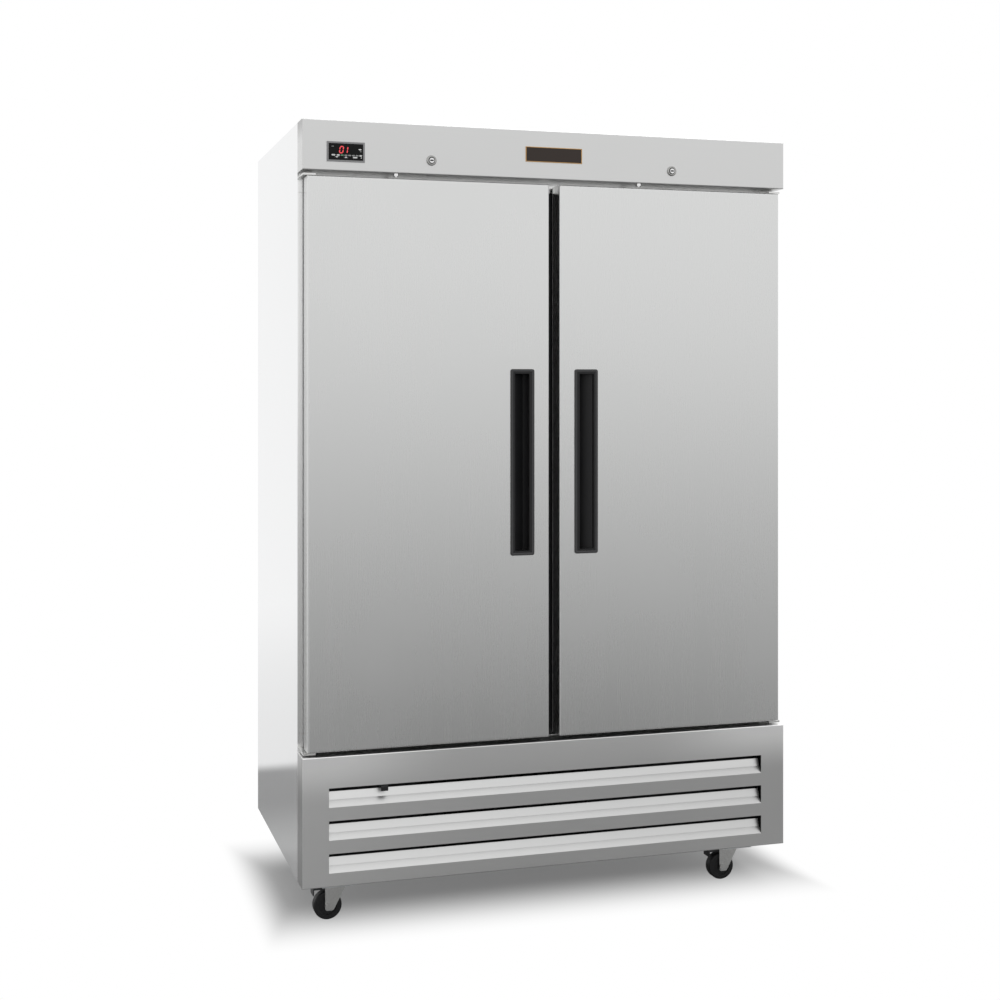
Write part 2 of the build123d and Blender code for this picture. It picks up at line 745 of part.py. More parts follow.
for name, side in sides.items():
    hinge_x = side * door_outer_x
    free_x = side * door_inner_x
    low_x = min(hinge_x, free_x)
    high_x = max(hinge_x, free_x)
    lock_x = side * door_middle_x

    with BuildPart() as door_skin:
        block((low_x, front_y, door_bottom_z), (high_x, door_foam_y, door_top_z))
        fillet(door_skin.faces().sort_by(Axis.Y)[0].edges(), door_edge_radius)
        offset(amount=-sheet, openings=door_skin.faces().sort_by(Axis.Y)[-1])
        door_hollows(side, front_y, lock_x)
    save(door_skin.part, f"{name}_door_skin")

    with BuildPart() as door_foam:
        block(
            (low_x + sheet, front_y + sheet, door_bottom_z + sheet),
            (high_x - sheet, door_foam_y, door_top_z - sheet),
        )
        fillet(door_foam.faces().sort_by(Axis.Y)[0].edges(), door_edge_radius)
        door_hollows(side, front_y + sheet, lock_x)
    save(door_foam.part, f"{name}_door_foam")

    with BuildPart() as inner_panel:
        block((low_x, door_foam_y, door_bottom_z), (high_x, door_back_y, door_top_z))
        field = gasket_edge + inner_panel_margin
        block(
            (low_x + field, door_back_y, door_bottom_z + field),
            (high_x - field, door_back_y + inner_panel_rise, door_top_z - field),
        )
        raised = inner_panel.faces().sort_by(Axis.Y)[-1]
        chamfer(raised.edges(), inner_panel_bevel)
    save(inner_panel.part, f"{name}_door_inner_panel")

    with BuildPart() as gasket:
        waist_inset = gasket_inset + (gasket_width - gasket_neck) / 2
        waist_y = door_back_y + gasket_base
        bulb_y = waist_y + gasket_waist
        for inset, width, low_y, high_y in (
            (gasket_inset, gasket_width, door_back_y, waist_y),
            (waist_inset, gasket_neck, waist_y, bulb_y),
            (gasket_inset, gasket_width, bulb_y, door_back_y + gasket_depth),
        ):
            frame_of_strips(
                (low_x + inset, low_y, door_bottom_z + inset),
                (high_x - inset, high_y, door_top_z - inset),
                width,
            )
    save(gasket.part, f"{name}_door_gasket")

    with BuildPart() as handle:
        block(
            (side * handle_near, front_y - handle_proud, handle_z - handle_height / 2),
            (side * handle_far, front_y, handle_z + handle_height / 2),
        )
        fillet(handle.edges().filter_by(Axis.Y), handle_corner)
        with BuildSketch(Plane.XY.offset(handle_z - cup_half)):
            with BuildLine():
                handle_outline(
                    side,
                    [
                        (cup_near, 0),
                        (cup_far, 0),
                        (cup_far, handle_shallow + handle_wall),
                        (mouth_near + handle_floor, cup_depth),
                        (cup_near, cup_depth),
                    ],
                )
            make_face()
        extrude(amount=2 * cup_half)
        with BuildSketch(Plane.XY.offset(handle_z - mouth_half)):
            with BuildLine():
                handle_outline(
                    side,
                    [
                        (mouth_near, -handle_proud),
                        (mouth_far, -handle_proud),
                        (mouth_far, handle_shallow),
                        (mouth_near + handle_floor, handle_deep),
                        (mouth_near - handle_undercut, handle_deep),
                        (mouth_near - handle_undercut, handle_lip),
                        (mouth_near, handle_lip),
                    ],
                )
            make_face()
        extrude(amount=2 * mouth_half, mode=Mode.SUBTRACT)
    save(handle.part, f"{name}_door_handle")

    with BuildPart() as bushes:
        bush_x = side * pivot_x
        for end_z, inward in ((door_top_z, -1), (door_bottom_z, 1)):
            inner_z = end_z + inward * bush_length
            flange_z = end_z - inward * bush_flange
            rod(bush_radius, (bush_x, pivot_y, inner_z), (bush_x, pivot_y, end_z))
            rod(bush_flange_radius, (bush_x, pivot_y, end_z), (bush_x, pivot_y, flange_z))
            rod(pin_radius + pin_gap, (bush_x, pivot_y, inner_z), (bush_x, pivot_y, flange_z), Mode.SUBTRACT)
    save(bushes.part, f"{name}_door_bushes")

# Grille panel with three rows of bent blades
with BuildPart() as grille_panel:
    block((-half_width, front_y, bottom_z), (half_width, face_y, grille_top_z))
    fillet(grille_panel.faces().sort_by(Axis.Y)[0].edges(), panel_bend)
    offset(amount=-sheet, openings=grille_panel.faces().sort_by(Axis.Y)[-1])
    block(
        (-half_width + sheet, front_y + grille_foot, bottom_z),
        (half_width - sheet, face_y, bottom_z + sheet),
        Mode.SUBTRACT,
    )
    for side in sides.values():
        block(
            (side * (bracket_low_x - seam), face_y - bracket_plate - seam, grille_top_z - sheet),
            (side * (bracket_high_x + seam), face_y, grille_top_z),
            Mode.SUBTRACT,
        )
    for row in range(louver_count):
        slot_z = bottom_z + louver_bottom + row * louver_pitch
        block(
            (-louver_half_length, front_y, slot_z),
            (louver_half_length, front_y + sheet, slot_z + louver_height),
            Mode.SUBTRACT,
        )
        with BuildSketch(Plane.YZ):
            with BuildLine():
                Polyline(
                    (front_y, slot_z - blade_foot),
                    (front_y, slot_z),
                    (front_y + blade_knee_run, slot_z + blade_knee_rise),
                    (front_y + blade_run, slot_z + blade_rise),
                    (front_y + blade_run + blade_sheet, slot_z + blade_rise),
                    (front_y + blade_knee_run + blade_sheet, slot_z + blade_knee_rise),
                    (front_y + blade_sheet, slot_z),
                    (front_y + blade_sheet, slot_z - blade_foot),
                    close=True,
                )
            make_face()
        extrude(amount=louver_half_length, both=True)
save(grille_panel.part, "grille_panel")

# Base frame: a pan on two hollow rails
with BuildPart() as base_frame:
    block((-inner_x, face_y, bottom_z), (inner_x, guard_y - sheet, pan_top_z))
    for side in sides.values():
        rail_low_x = side * caster_x - rail_width / 2
        rail_high_x = side * caster_x + rail_width / 2
        block((rail_low_x, face_y, plate_top_z), (rail_high_x, guard_y - sheet, bottom_z))
        block(
            (rail_low_x + rail_wall, face_y, plate_top_z + rail_wall),
            (rail_high_x - rail_wall, guard_y - sheet, bottom_z),
            Mode.SUBTRACT,
        )
save(base_frame.part, "base_frame")

# Casters
caster_places = {
    "front_left": (-caster_x, front_y + caster_front),
    "front_right": (caster_x, front_y + caster_front),
    "rear_left": (-caster_x, back_y - caster_rear),
    "rear_right": (caster_x, back_y - caster_rear),
}

with BuildPart() as caster_plates:
    race_z = plate_top_z - plate_sheet
    pin_end_z = crown_bottom_z - running_gap
    for x, y in caster_places.values():
        block(
            (x - plate_length / 2, y - plate_width / 2, race_z),
            (x + plate_length / 2, y + plate_width / 2, plate_top_z),
        )
        rod(raceway_radius, (x, y, race_z - raceway_height), (x, y, race_z))
        rod(kingpin_radius, (x, y, pin_end_z), (x, y, race_z))
        rod(kingpin_head_radius, (x, y, pin_end_z - kingpin_head), (x, y, pin_end_z))
save(caster_plates.part, "caster_plates")

for name, (x, y) in caster_places.items():
    is_front = name.startswith("front")
    trail = -1 if is_front else 1
    axle_x = x + trail * caster_trail
    axle_z = wheel_radius
    crown_end_x = axle_x + trail * leg_back
    crown_start_x = x - trail * raceway_radius

    with BuildPart() as fork:
        block((crown_end_x, y - leg_outer, crown_bottom_z), (crown_start_x, y + leg_outer, crown_top_z))
        rod(
            kingpin_radius + pin_gap,
            (x, y, crown_bottom_z),
            (x, y, crown_top_z),
            Mode.SUBTRACT,
        )
        for leg_y in (y - leg_inner, y + leg_outer):
            with BuildSketch(Plane.XZ.offset(-leg_y)):
                with BuildLine():
                    Polyline(
                        (crown_end_x, axle_z - leg_drop),
                        (crown_end_x, crown_top_z),
                        (crown_start_x, crown_top_z),
                        (crown_start_x, crown_bottom_z - crown_sheet),
                        (axle_x - trail * leg_toe, axle_z - leg_drop),
                        close=True,
                    )
                leg = make_face()
                fillet(leg.vertices().group_by(Axis.Y)[0], leg_corner)
                with Locations((axle_x, axle_z)):
                    Circle(axle_radius + pin_gap, mode=Mode.SUBTRACT)
                if is_front:
                    with Locations((axle_x - pedal_pin_back, pedal_pin_z)):
                        Circle(pedal_pin_radius + pin_gap, mode=Mode.SUBTRACT)
            extrude(amount=leg_sheet)
    axle_half = leg_outer + axle_head
    with BuildPart() as axle:
        rod(axle_radius, (axle_x, y - axle_half, axle_z), (axle_x, y + axle_half, axle_z))
        for low_y, high_y in ((-axle_half, -leg_outer), (leg_outer, axle_half)):
            rod(axle_head_radius, (axle_x, y + low_y, axle_z), (axle_x, y + high_y, axle_z))
    fork_pieces = [fork.part, axle.part]
    if is_front:
        pin_x = axle_x - pedal_pin_back
        with BuildPart() as pedal_pin:
            rod(pedal_pin_radius, (pin_x, y - leg_outer, pedal_pin_z), (pin_x, y + leg_outer, pedal_pin_z))
        fork_pieces.append(pedal_pin.part)
    save(Compound(children=fork_pieces), f"caster_fork_{name}")

    with BuildPart(Plane((axle_x, y, axle_z), z_dir=(0, -1, 0))) as wheel:
        Cylinder(wheel_radius, wheel_width)
        fillet(wheel.edges().filter_by(GeomType.CIRCLE), tread_radius)
        with Locations((0, 0, wheel_width / 2), (0, 0, -wheel_width / 2)):
            Cylinder(hub_radius, 2 * hub_recess, mode=Mode.SUBTRACT)
        Cylinder(axle_head_radius, wheel_width)
        Cylinder(axle_radius + pin_gap, wheel_width, mode=Mode.SUBTRACT)
    save(wheel.part, f"caster_wheel_{name}")

    if is_front:
        with BuildPart() as pedal:
            barrel_half = wheel_width / 2
            arm_end_x = pin_x - pedal_reach
            pad_x = crown_end_x - 2 * running_gap
            pad_y = pedal_width / 2
            arm_low_z = pedal_pin_z - pedal_sheet / 2
            arm_high_z = pedal_pin_z + pedal_sheet / 2
            rod(
                pedal_barrel_radius,
                (pin_x, y - barrel_half, pedal_pin_z),
                (pin_x, y + barrel_half, pedal_pin_z),
            )
            block((pad_x, y - barrel_half, arm_low_z), (pin_x, y + barrel_half, arm_high_z))
            block((arm_end_x, y - pad_y, arm_low_z), (pad_x, y + pad_y, arm_high_z))
            block(
                (arm_end_x, y - pad_y, arm_high_z - pedal_lip),
                (arm_end_x + pedal_sheet, y + pad_y, arm_high_z),
            )
            rod(
                pedal_pin_radius + pin_gap,
                (pin_x, y - barrel_half, pedal_pin_z),
                (pin_x, y + barrel_half, pedal_pin_z),
                Mode.SUBTRACT,
            )
        save(pedal.part, f"brake_pedal_{name}")


# Cold unit
def finned_coil(middle_x, front, width, depth, low_z, height, spine_front):
    """A coil block with upright fins on a flat spine, the spine in front or behind."""
    spine_y = front + coil_spine / 2
    fin_y = front + coil_spine + (depth - coil_spine) / 2
    if not spine_front:
        spine_y = front + depth - coil_spine / 2
        fin_y = front + (depth - coil_spine) / 2
    fin_count = int((width - coil_fin) / coil_fin_pitch) + 1
    with BuildPart() as coil:
        with BuildSketch(Plane.XY.offset(low_z)):
            with Locations((middle_x, spine_y)):
                Rectangle(width, coil_spine)
            with Locations((middle_x, fin_y)):
                with GridLocations(coil_fin_pitch, depth, fin_count, 1):
                    Rectangle(coil_fin, depth - coil_spine)
            for end in (-1, 1):
                with Locations((middle_x + end * (width - coil_fin) / 2, front + depth / 2)):
                    Rectangle(coil_fin, depth)
        extrude(amount=height)
    return coil.part


def fan(middle, facing, radius):
    """A hub with pitched blades, bored for its shaft, turning about the facing direction."""
    blade = radius - fan_hub_radius
    with BuildPart(Plane(middle, z_dir=facing)) as rotor:
        Cylinder(fan_hub_radius, fan_hub)
        with PolarLocations(fan_hub_radius + blade / 2 - fan_sheet / 2, fan_blades):
            Box(blade + fan_sheet, fan_chord, fan_sheet, rotation=(fan_pitch, 0, 0))
        Cylinder(shaft_radius + pin_gap, fan_hub, mode=Mode.SUBTRACT)
    return rotor.part


condenser_coil = finned_coil(
    condenser_x, condenser_y, condenser_width, condenser_depth, pan_top_z, condenser_height, False
)
save(condenser_coil, "condenser_coil")

evaporator_low_z = coil_space_top_z - evaporator_height
evaporator_coil = finned_coil(
    0, evaporator_front_y, evaporator_width, evaporator_depth, evaporator_low_z, evaporator_height, True
)
save(evaporator_coil, "evaporator_coil")

fan_z = pan_top_z + condenser_height / 2
shroud_back_y = condenser_back_y + shroud_depth
shroud_top_z = pan_top_z + condenser_height
with BuildPart() as fan_shroud:
    half = condenser_width / 2
    block(
        (condenser_x - half, condenser_back_y, pan_top_z),
        (condenser_x + half, shroud_back_y, shroud_top_z),
    )
    block(
        (condenser_x - half + shroud_wall, condenser_back_y, pan_top_z + shroud_wall),
        (condenser_x + half - shroud_wall, shroud_back_y - shroud_wall, shroud_top_z - shroud_wall),
        Mode.SUBTRACT,
    )
    rod(
        fan_radius + fan_tip_gap,
        (condenser_x, condenser_back_y, fan_z),
        (condenser_x, shroud_back_y, fan_z),
        Mode.SUBTRACT,
    )

# Baffle round the condenser, which keeps the air from passing beside it
with BuildPart() as air_baffle:
    half = condenser_width / 2
    block((-inner_x, condenser_y, pan_top_z), (inner_x, condenser_y + shroud_wall, deck_z - seam))
    block(
        (condenser_x - half, condenser_y, pan_top_z),
        (condenser_x + half, condenser_y + shroud_wall, shroud_top_z),
        Mode.SUBTRACT,
    )
save(Compound(children=[fan_shroud.part, air_baffle.part]), "fan_shroud")

# Fan motors with their shafts: the condenser's on a cross arm, the evaporator's under the coil space
rotor_y = shroud_back_y
motor_y = rotor_y + fan_hub / 2 + motor_gap
evaporator_motor_z = coil_space_top_z - evaporator_motor_length
rotor_z = evaporator_motor_z - motor_gap - fan_hub / 2
arm_y = motor_y + motor_length - motor_arm_sheet
with BuildPart() as fan_motors:
    rod(motor_radius, (condenser_x, motor_y, fan_z), (condenser_x, motor_y + motor_length, fan_z))
    rod(shaft_radius, (condenser_x, rotor_y - fan_hub / 2, fan_z), (condenser_x, motor_y, fan_z))
    arm_x = fan_radius + fan_tip_gap + motor_arm
    block(
        (condenser_x - arm_x, arm_y, fan_z - motor_arm / 2),
        (condenser_x + arm_x, motor_y + motor_length, fan_z + motor_arm / 2),
    )
    for end in (-1, 1):
        block(
            (condenser_x + end * (arm_x - motor_arm_sheet), shroud_back_y, fan_z - motor_arm / 2),
            (condenser_x + end * arm_x, motor_y + motor_length, fan_z + motor_arm / 2),
        )
    rod(motor_radius, (0, fan_y, evaporator_motor_z), (0, fan_y, coil_space_top_z))
    rod(shaft_radius, (0, fan_y, rotor_z - fan_hub / 2), (0, fan_y, evaporator_motor_z))
save(fan_motors.part, "fan_motors")

condenser_fan = fan((condenser_x, rotor_y, fan_z), (0, -1, 0), fan_radius)
save(condenser_fan, "condenser_fan")
evaporator_fan = fan((0, fan_y, rotor_z), (0, 0, -1), evaporator_fan_radius)
save(evaporator_fan, "evaporator_fan")

with BuildPart() as compressor:
    plate_low_z = pan_top_z + compressor_foot
    shell_low_z = plate_low_z + compressor_plate_sheet
    rod(
        compressor_radius,
        (compressor_x, compressor_y, shell_low_z),
        (compressor_x, compressor_y, shell_low_z + compressor_height),
    )
    fillet(compressor.edges().sort_by(Axis.Z)[-1], compressor_dome)
    half = compressor_plate / 2
    block(
        (compressor_x - half, compressor_y - half, plate_low_z),
        (compressor_x + half, compressor_y + half, shell_low_z),
    )
    foot_pitch = compressor_plate - 2 * compressor_foot_inset
    with Locations((compressor_x, compressor_y, pan_top_z + compressor_foot / 2)):
        with GridLocations(foot_pitch, foot_pitch, 2, 2):
            Cylinder(compressor_foot_radius, compressor_foot)
save(compressor.part, "compressor")

with BuildPart() as drain_pan:
    pan_back_y = back_y - drain_pan_back
    pan_front_y = pan_back_y - drain_pan_length
    half = drain_pan_width / 2
    block(
        (drain_pan_x - half, pan_front_y, pan_top_z),
        (drain_pan_x + half, pan_back_y, pan_top_z + drain_pan_height),
    )
    block(
        (drain_pan_x - half + drain_pan_sheet, pan_front_y + drain_pan_sheet, pan_top_z + drain_pan_sheet),
        (drain_pan_x + half - drain_pan_sheet, pan_back_y - drain_pan_sheet, pan_top_z + drain_pan_height),
        Mode.SUBTRACT,
    )
save(drain_pan.part, "drain_pan")

with BuildPart() as light_strip:
    light_low_z = opening_top_z - light_height
    light_y = face_y + light_setback
    block(
        (-light_length / 2, light_y, light_low_z),
        (light_length / 2, light_y + light_depth, opening_top_z),
    )
    fillet(light_strip.faces().sort_by(Axis.Z)[0].edges().filter_by(Axis.X), light_corner)
save(light_strip.part, "light_strip")

# Slotted standards on the walls, the mullion's back and the rear wall, with a clip for each shelf corner
standard_low_z = opening_bottom_z + standard_margin
standard_high_z = opening_top_z - standard_margin
standard_height = standard_high_z - standard_low_z
standard_mid_z = (standard_low_z + standard_high_z) / 2
slot_count = int((standard_height - standard_slot_height) / standard_slot_pitch)
shelf_levels = [opening_bottom_z + shelf_first + i * shelf_pitch for i in range(shelf_count)]
clip_tops = [level - shelf_rail - seam / 2 for level in shelf_levels]
standard_planes = []
for side in sides.values():
    wall_x = side * cavity_x
    for y in (face_y + standard_front, cavity_back_y - standard_rear):
        standard_planes.append(Plane((wall_x, y, 0), x_dir=(0, -side, 0), z_dir=(-side, 0, 0)))
    center_x = side * standard_centre
    standard_planes.append(Plane((center_x, face_y + mullion_depth, 0), x_dir=(-1, 0, 0), z_dir=(0, 1, 0)))
    standard_planes.append(Plane((center_x, cavity_back_y, 0), x_dir=(1, 0, 0), z_dir=(0, -1, 0)))


def standard(plane):
    """One slotted strip that stands on the given wall plane, which has its own Y axis upright."""
    with BuildPart() as strip:
        with BuildSketch(plane):
            with Locations((0, standard_mid_z)):
                Rectangle(standard_width, standard_height)
                with GridLocations(standard_width, standard_slot_pitch, 1, slot_count):
                    Rectangle(standard_slot, standard_slot_height, mode=Mode.SUBTRACT)
        extrude(amount=standard_depth)
    return strip.part


def clip(plane, ledge_z):
    """One shelf clip on a standard: a flat ledge over a sloped web."""
    side_plane = Plane(
        plane.from_local_coords((clip_width / 2, 0, standard_depth)), x_dir=plane.z_dir, z_dir=-plane.x_dir
    )
    low_z = ledge_z - clip_height
    with BuildPart() as hook:
        with BuildSketch(side_plane):
            with BuildLine():
                Polyline(
                    (0, ledge_z),
                    (clip_reach, ledge_z),
                    (clip_reach, ledge_z - clip_sheet),
                    (clip_sheet, low_z),
                    (0, low_z),
                    close=True,
                )
            make_face()
        extrude(amount=clip_width)
    return hook.part


standards = Compound(children=[standard(plane) for plane in standard_planes])
save(standards, "shelf_standards")
clips = Compound(children=[clip(plane, ledge_z) for plane in standard_planes for ledge_z in clip_tops])
save(clips, "shelf_clips")

# Wire shelves, three in each half of the cavity
shelf_low_x = shelf_centre_gap
shelf_high_x = cavity_x - standard_depth - shelf_end_gap
shelf_low_y = face_y + mullion_depth + standard_depth + shelf_end_gap
shelf_high_y = cavity_back_y - standard_depth - shelf_end_gap
shelf_half_x = (shelf_high_x - shelf_low_x) / 2 - shelf_rail
shelf_half_y = (shelf_high_y - shelf_low_y) / 2 - shelf_rail
shelf_mid_x = (shelf_high_x + shelf_low_x) / 2
shelf_mid_y = (shelf_high_y + shelf_low_y) / 2
with BuildPart() as wire_shelf:
    with BuildLine() as rim:
        FilletPolyline(
            (-shelf_half_x, -shelf_half_y),
            (shelf_half_x, -shelf_half_y),
            (shelf_half_x, shelf_half_y),
            (-shelf_half_x, shelf_half_y),
            radius=shelf_corner,
            close=True,
        )
    with BuildSketch(Plane(rim.line @ 0, z_dir=rim.line % 0)):
        Circle(shelf_rail)
    sweep(path=rim.line)
    with GridLocations(shelf_half_x, 2 * shelf_half_y / (shelf_braces + 1), 1, shelf_braces):
        Cylinder(shelf_brace, 2 * shelf_half_x, rotation=(0, 90, 0))
    wire_pitch = 2 * shelf_half_x / (shelf_wires + 1)
    wire_z = shelf_rail + shelf_wire - shelf_sink
    with Locations((0, 0, wire_z)):
        with GridLocations(wire_pitch, shelf_half_y, shelf_wires, 1):
            Cylinder(shelf_wire, 2 * shelf_half_y, rotation=(90, 0, 0))

shelves = []
for side in sides.values():
    for level in shelf_levels:
        shelves.append(wire_shelf.part.moved(Location((side * shelf_mid_x, shelf_mid_y, level))))
save(Compound(children=shelves), "wire_shelves")
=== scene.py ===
# %% [markdown]
# # Dressing a two-door freezer
# The CAD model gives every solid, its place and the body it moves with. This lesson leaves those solids
# where they are, gives each one a finish made of shader nodes, and adds the small things that are too
# fine for CAD: the plate on the header, the lit digits, screws, rivets, a wire guard and the soft door
# gaskets. All lengths are metres, in the frame of the CAD model: +Z is up and the doors face -Y.

# %% Load the frame
import json
import math

import bmesh
import bpy
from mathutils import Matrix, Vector


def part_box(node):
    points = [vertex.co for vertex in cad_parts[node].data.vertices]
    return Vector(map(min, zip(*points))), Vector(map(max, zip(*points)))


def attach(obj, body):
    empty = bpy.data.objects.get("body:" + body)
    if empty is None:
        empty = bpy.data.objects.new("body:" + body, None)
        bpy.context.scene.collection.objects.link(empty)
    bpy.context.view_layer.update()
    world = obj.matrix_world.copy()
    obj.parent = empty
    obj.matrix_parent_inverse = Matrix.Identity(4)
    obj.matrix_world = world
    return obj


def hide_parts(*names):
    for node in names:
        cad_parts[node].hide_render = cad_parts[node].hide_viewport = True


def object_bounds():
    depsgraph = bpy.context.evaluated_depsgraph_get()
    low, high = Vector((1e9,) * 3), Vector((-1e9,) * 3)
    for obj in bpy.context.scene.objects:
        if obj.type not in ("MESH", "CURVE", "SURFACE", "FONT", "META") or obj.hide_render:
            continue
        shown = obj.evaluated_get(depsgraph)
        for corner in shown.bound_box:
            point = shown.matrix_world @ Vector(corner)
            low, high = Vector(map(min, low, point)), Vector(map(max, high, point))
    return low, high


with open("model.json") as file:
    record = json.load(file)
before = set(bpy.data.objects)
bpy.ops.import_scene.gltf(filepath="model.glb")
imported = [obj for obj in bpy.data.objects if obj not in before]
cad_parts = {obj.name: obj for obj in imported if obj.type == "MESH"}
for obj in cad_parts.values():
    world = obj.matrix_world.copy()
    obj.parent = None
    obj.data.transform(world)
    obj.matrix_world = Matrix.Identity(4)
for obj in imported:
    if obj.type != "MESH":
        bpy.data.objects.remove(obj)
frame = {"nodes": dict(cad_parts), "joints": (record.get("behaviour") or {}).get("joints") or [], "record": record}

cad_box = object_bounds()
nodes = frame["nodes"]
scene = bpy.context.scene


def short(values):
    """Lengths rounded to a tenth of a millimetre, for printing."""
    return [round(v, 4) for v in values]


# %% [markdown]
# ## Camera
# The photograph was taken from left of the middle, with the camera level and the lens shifted down so
# that upright edges stay upright. A tilted camera could frame the same things, but the cabinet's sides
# would then converge. So the camera stays level here too and only the shift moves the picture.

# %% Camera
photo_camera = bpy.data.cameras.new("photo_camera")
photo_camera.sensor_width = 36.0
photo_camera.lens = 55.26
photo_camera.shift_y = -0.1145
camera = bpy.data.objects.new("photo_camera", photo_camera)
camera.location = (-1.354, -4.3205, 1.427)
camera.rotation_euler = (math.radians(90), 0, math.radians(-17.01))
scene.collection.objects.link(camera)
scene.camera = camera
scene.view_settings.view_transform = "Standard"
print("camera at", short(camera.location), "lens", round(photo_camera.lens, 2))


# %% [markdown]
# ## Node helpers
# A material is a small graph. Building it by hand takes a line for each node, each setting and each link,
# so helpers do the writing: one adds a node and fills its inputs, and the others add a piece of
# arithmetic or a texture with it.

# %% Node helpers
def put(tree, kind, inputs=None, **settings):
    """Adds a node; an input is a value to set or another node's output to link."""
    node = tree.nodes.new(kind)
    for name, value in settings.items():
        setattr(node, name, value)
    for name, value in (inputs or {}).items():
        if isinstance(value, bpy.types.NodeSocket):
            tree.links.new(value, node.inputs[name])
        else:
            node.inputs[name].default_value = value
    return node


def calc(tree, operation, *values):
    """Adds a math node and returns its result."""
    return put(tree, "ShaderNodeMath", dict(enumerate(values)), operation=operation).outputs[0]


def vector(tree, operation, *values):
    """Adds a vector math node and returns its outputs."""
    return put(tree, "ShaderNodeVectorMath", dict(enumerate(values)), operation=operation).outputs


def scaled(tree, values, factor):
    """A point or a colour times a factor."""
    return put(tree, "ShaderNodeVectorMath", {0: values, "Scale": factor}, operation="SCALE").outputs[0]


def fade(tree, value, start, end):
    """Runs smoothly from 0 at start to 1 at end."""
    inputs = {"Value": value, "From Min": start, "From Max": end}
    return put(tree, "ShaderNodeMapRange", inputs, interpolation_type="SMOOTHSTEP").outputs["Result"]


def noise(tree, point, scale, detail):
    """Adds a noise texture and returns its outputs, the value first."""
    return put(tree, "ShaderNodeTexNoise", {"Vector": point, "Scale": scale, "Detail": detail}).outputs


def own_point(tree):
    """The place on the surface, in the object's own coordinates."""
    return put(tree, "ShaderNodeTexCoord").outputs["Object"]


def seen_by(tree, *kinds):
    """1 for the given kinds of ray, such as Is Camera Ray, and 0 for light that is being gathered."""
    path = put(tree, "ShaderNodeLightPath").outputs
    shown = path[kinds[0]]
    for kind in kinds[1:]:
        shown = calc(tree, "MAXIMUM", shown, path[kind])
    return shown


print("node helpers ready")

# %% [markdown]
# ## White room
# Product pictures of steel are taken in a white room, because steel shows whatever stands round it. The
# world is therefore plain white. It lights the freezer evenly from all sides, and the steel mirrors it
# above the floor.

# %% World
world = bpy.data.worlds.new("white_room")
scene.world = world
world.use_nodes = True
tree = world.node_tree
tree.nodes.clear()
backdrop = put(tree, "ShaderNodeBackground", {"Color": (1, 1, 1, 1), "Strength": 1.0})
put(tree, "ShaderNodeOutputWorld", {"Surface": backdrop.outputs[0]})
print("world strength:", backdrop.inputs["Strength"].default_value)

# %% [markdown]
# ## Floor
# The floor is one wide plane of grey paint that gets lighter with distance. Steel mirrors it, which
# shades the doors from light at the top to grey at the foot. Dark boards round the set could do that too,
# but they would show from other sides.

# %% Floor plane
reach = 60.0
floor_mesh = bpy.data.meshes.new("floor")
corners = [(-reach, -reach, 0), (reach, -reach, 0), (reach, reach, 0), (-reach, reach, 0)]
floor_mesh.from_pydata(corners, [], [(0, 1, 2, 3)])
floor = bpy.data.objects.new("floor", floor_mesh)
scene.collection.objects.link(floor)

floor_paint = bpy.data.materials.new("floor_paint")
floor_paint.use_nodes = True
floor_mesh.materials.append(floor_paint)
print("floor reaches", reach, "m each way")

# %% [markdown]
# ### Painted shadow under the cabinet
# Seen directly, the floor turns white outside a painted shadow: a soft rounded rectangle, set by place round the
# cabinet's foot, inside which the grey floor shows with its real shading. The white could be laid over the
# picture afterwards, but a blend that is tied to places on the floor stays put when the camera moves.

# %% Where the painted shadow ends
painted_shadow_middle = (0.022, 0.03)
painted_shadow_half = (cad_box[1].x + 0.065, 0.315)
painted_shadow_edge = (-0.18, 0.20)
painted_shadow_rounding = 0.1
# how white the floor stays in the middle of the painted shadow
painted_shadow_lightness = 0.15
side_sharpness = 3.0

tree = floor_paint.node_tree
tree.nodes.clear()
point = put(tree, "ShaderNodeNewGeometry").outputs["Position"]
place = put(tree, "ShaderNodeSeparateXYZ", {0: point}).outputs
from_middle = [calc(tree, "ABSOLUTE", calc(tree, "SUBTRACT", place[i], painted_shadow_middle[i])) for i in (0, 1)]
past_x = calc(tree, "MULTIPLY", calc(tree, "SUBTRACT", from_middle[0], painted_shadow_half[0]), side_sharpness)
past_y = calc(tree, "SUBTRACT", from_middle[1], painted_shadow_half[1])
outside_painted_shadow = fade(tree, calc(tree, "SMOOTH_MAX", past_x, past_y, painted_shadow_rounding), *painted_shadow_edge)
outside_painted_shadow = calc(tree, "MULTIPLY_ADD", outside_painted_shadow, 1.0 - painted_shadow_lightness, painted_shadow_lightness)
whitened = calc(tree, "MULTIPLY", outside_painted_shadow, seen_by(tree, "Is Camera Ray", "Is Transmission Ray"))
print("shadow reaches", short(painted_shadow_half), "m from its middle")

# %% [markdown]
# ### What mirrors see of the floor
# Behind the cabinet the floor runs up into the backdrop, so there it is white in mirrors too. Beside the
# cabinet a mirror sees a faint painted sheen, a white that only mirrors see. Both go by place, like the painted
# shadow.

# %% Backdrop and painted sheen
backdrop_start = (1.33, 1.5)
backdrop_rise = (1.5, 6.0)
backdrop_foot = 0.8
beside_cabinet = (-0.4, 0.2)
behind_cabinet = (0.3, 1.0)
# painted sheen: how much white a mirror sees on the floor beside the cabinet
painted_sheen = 0.1

risen = fade(tree, place["Y"], *backdrop_rise)
upper = calc(tree, "MULTIPLY_ADD", risen, 1.0 - backdrop_foot, backdrop_foot)
backing = calc(tree, "MULTIPLY", fade(tree, place["Y"], *backdrop_start), upper)
behind = fade(tree, place["Y"], *behind_cabinet)
beside = calc(tree, "SUBTRACT", fade(tree, place["Y"], *beside_cabinet), behind)
backing = calc(tree, "MAXIMUM", backing, calc(tree, "MULTIPLY", beside, painted_sheen))
mirrored = calc(tree, "MULTIPLY", backing, seen_by(tree, "Is Glossy Ray"))
print("backdrop from", backdrop_start[0], "m behind the middle")
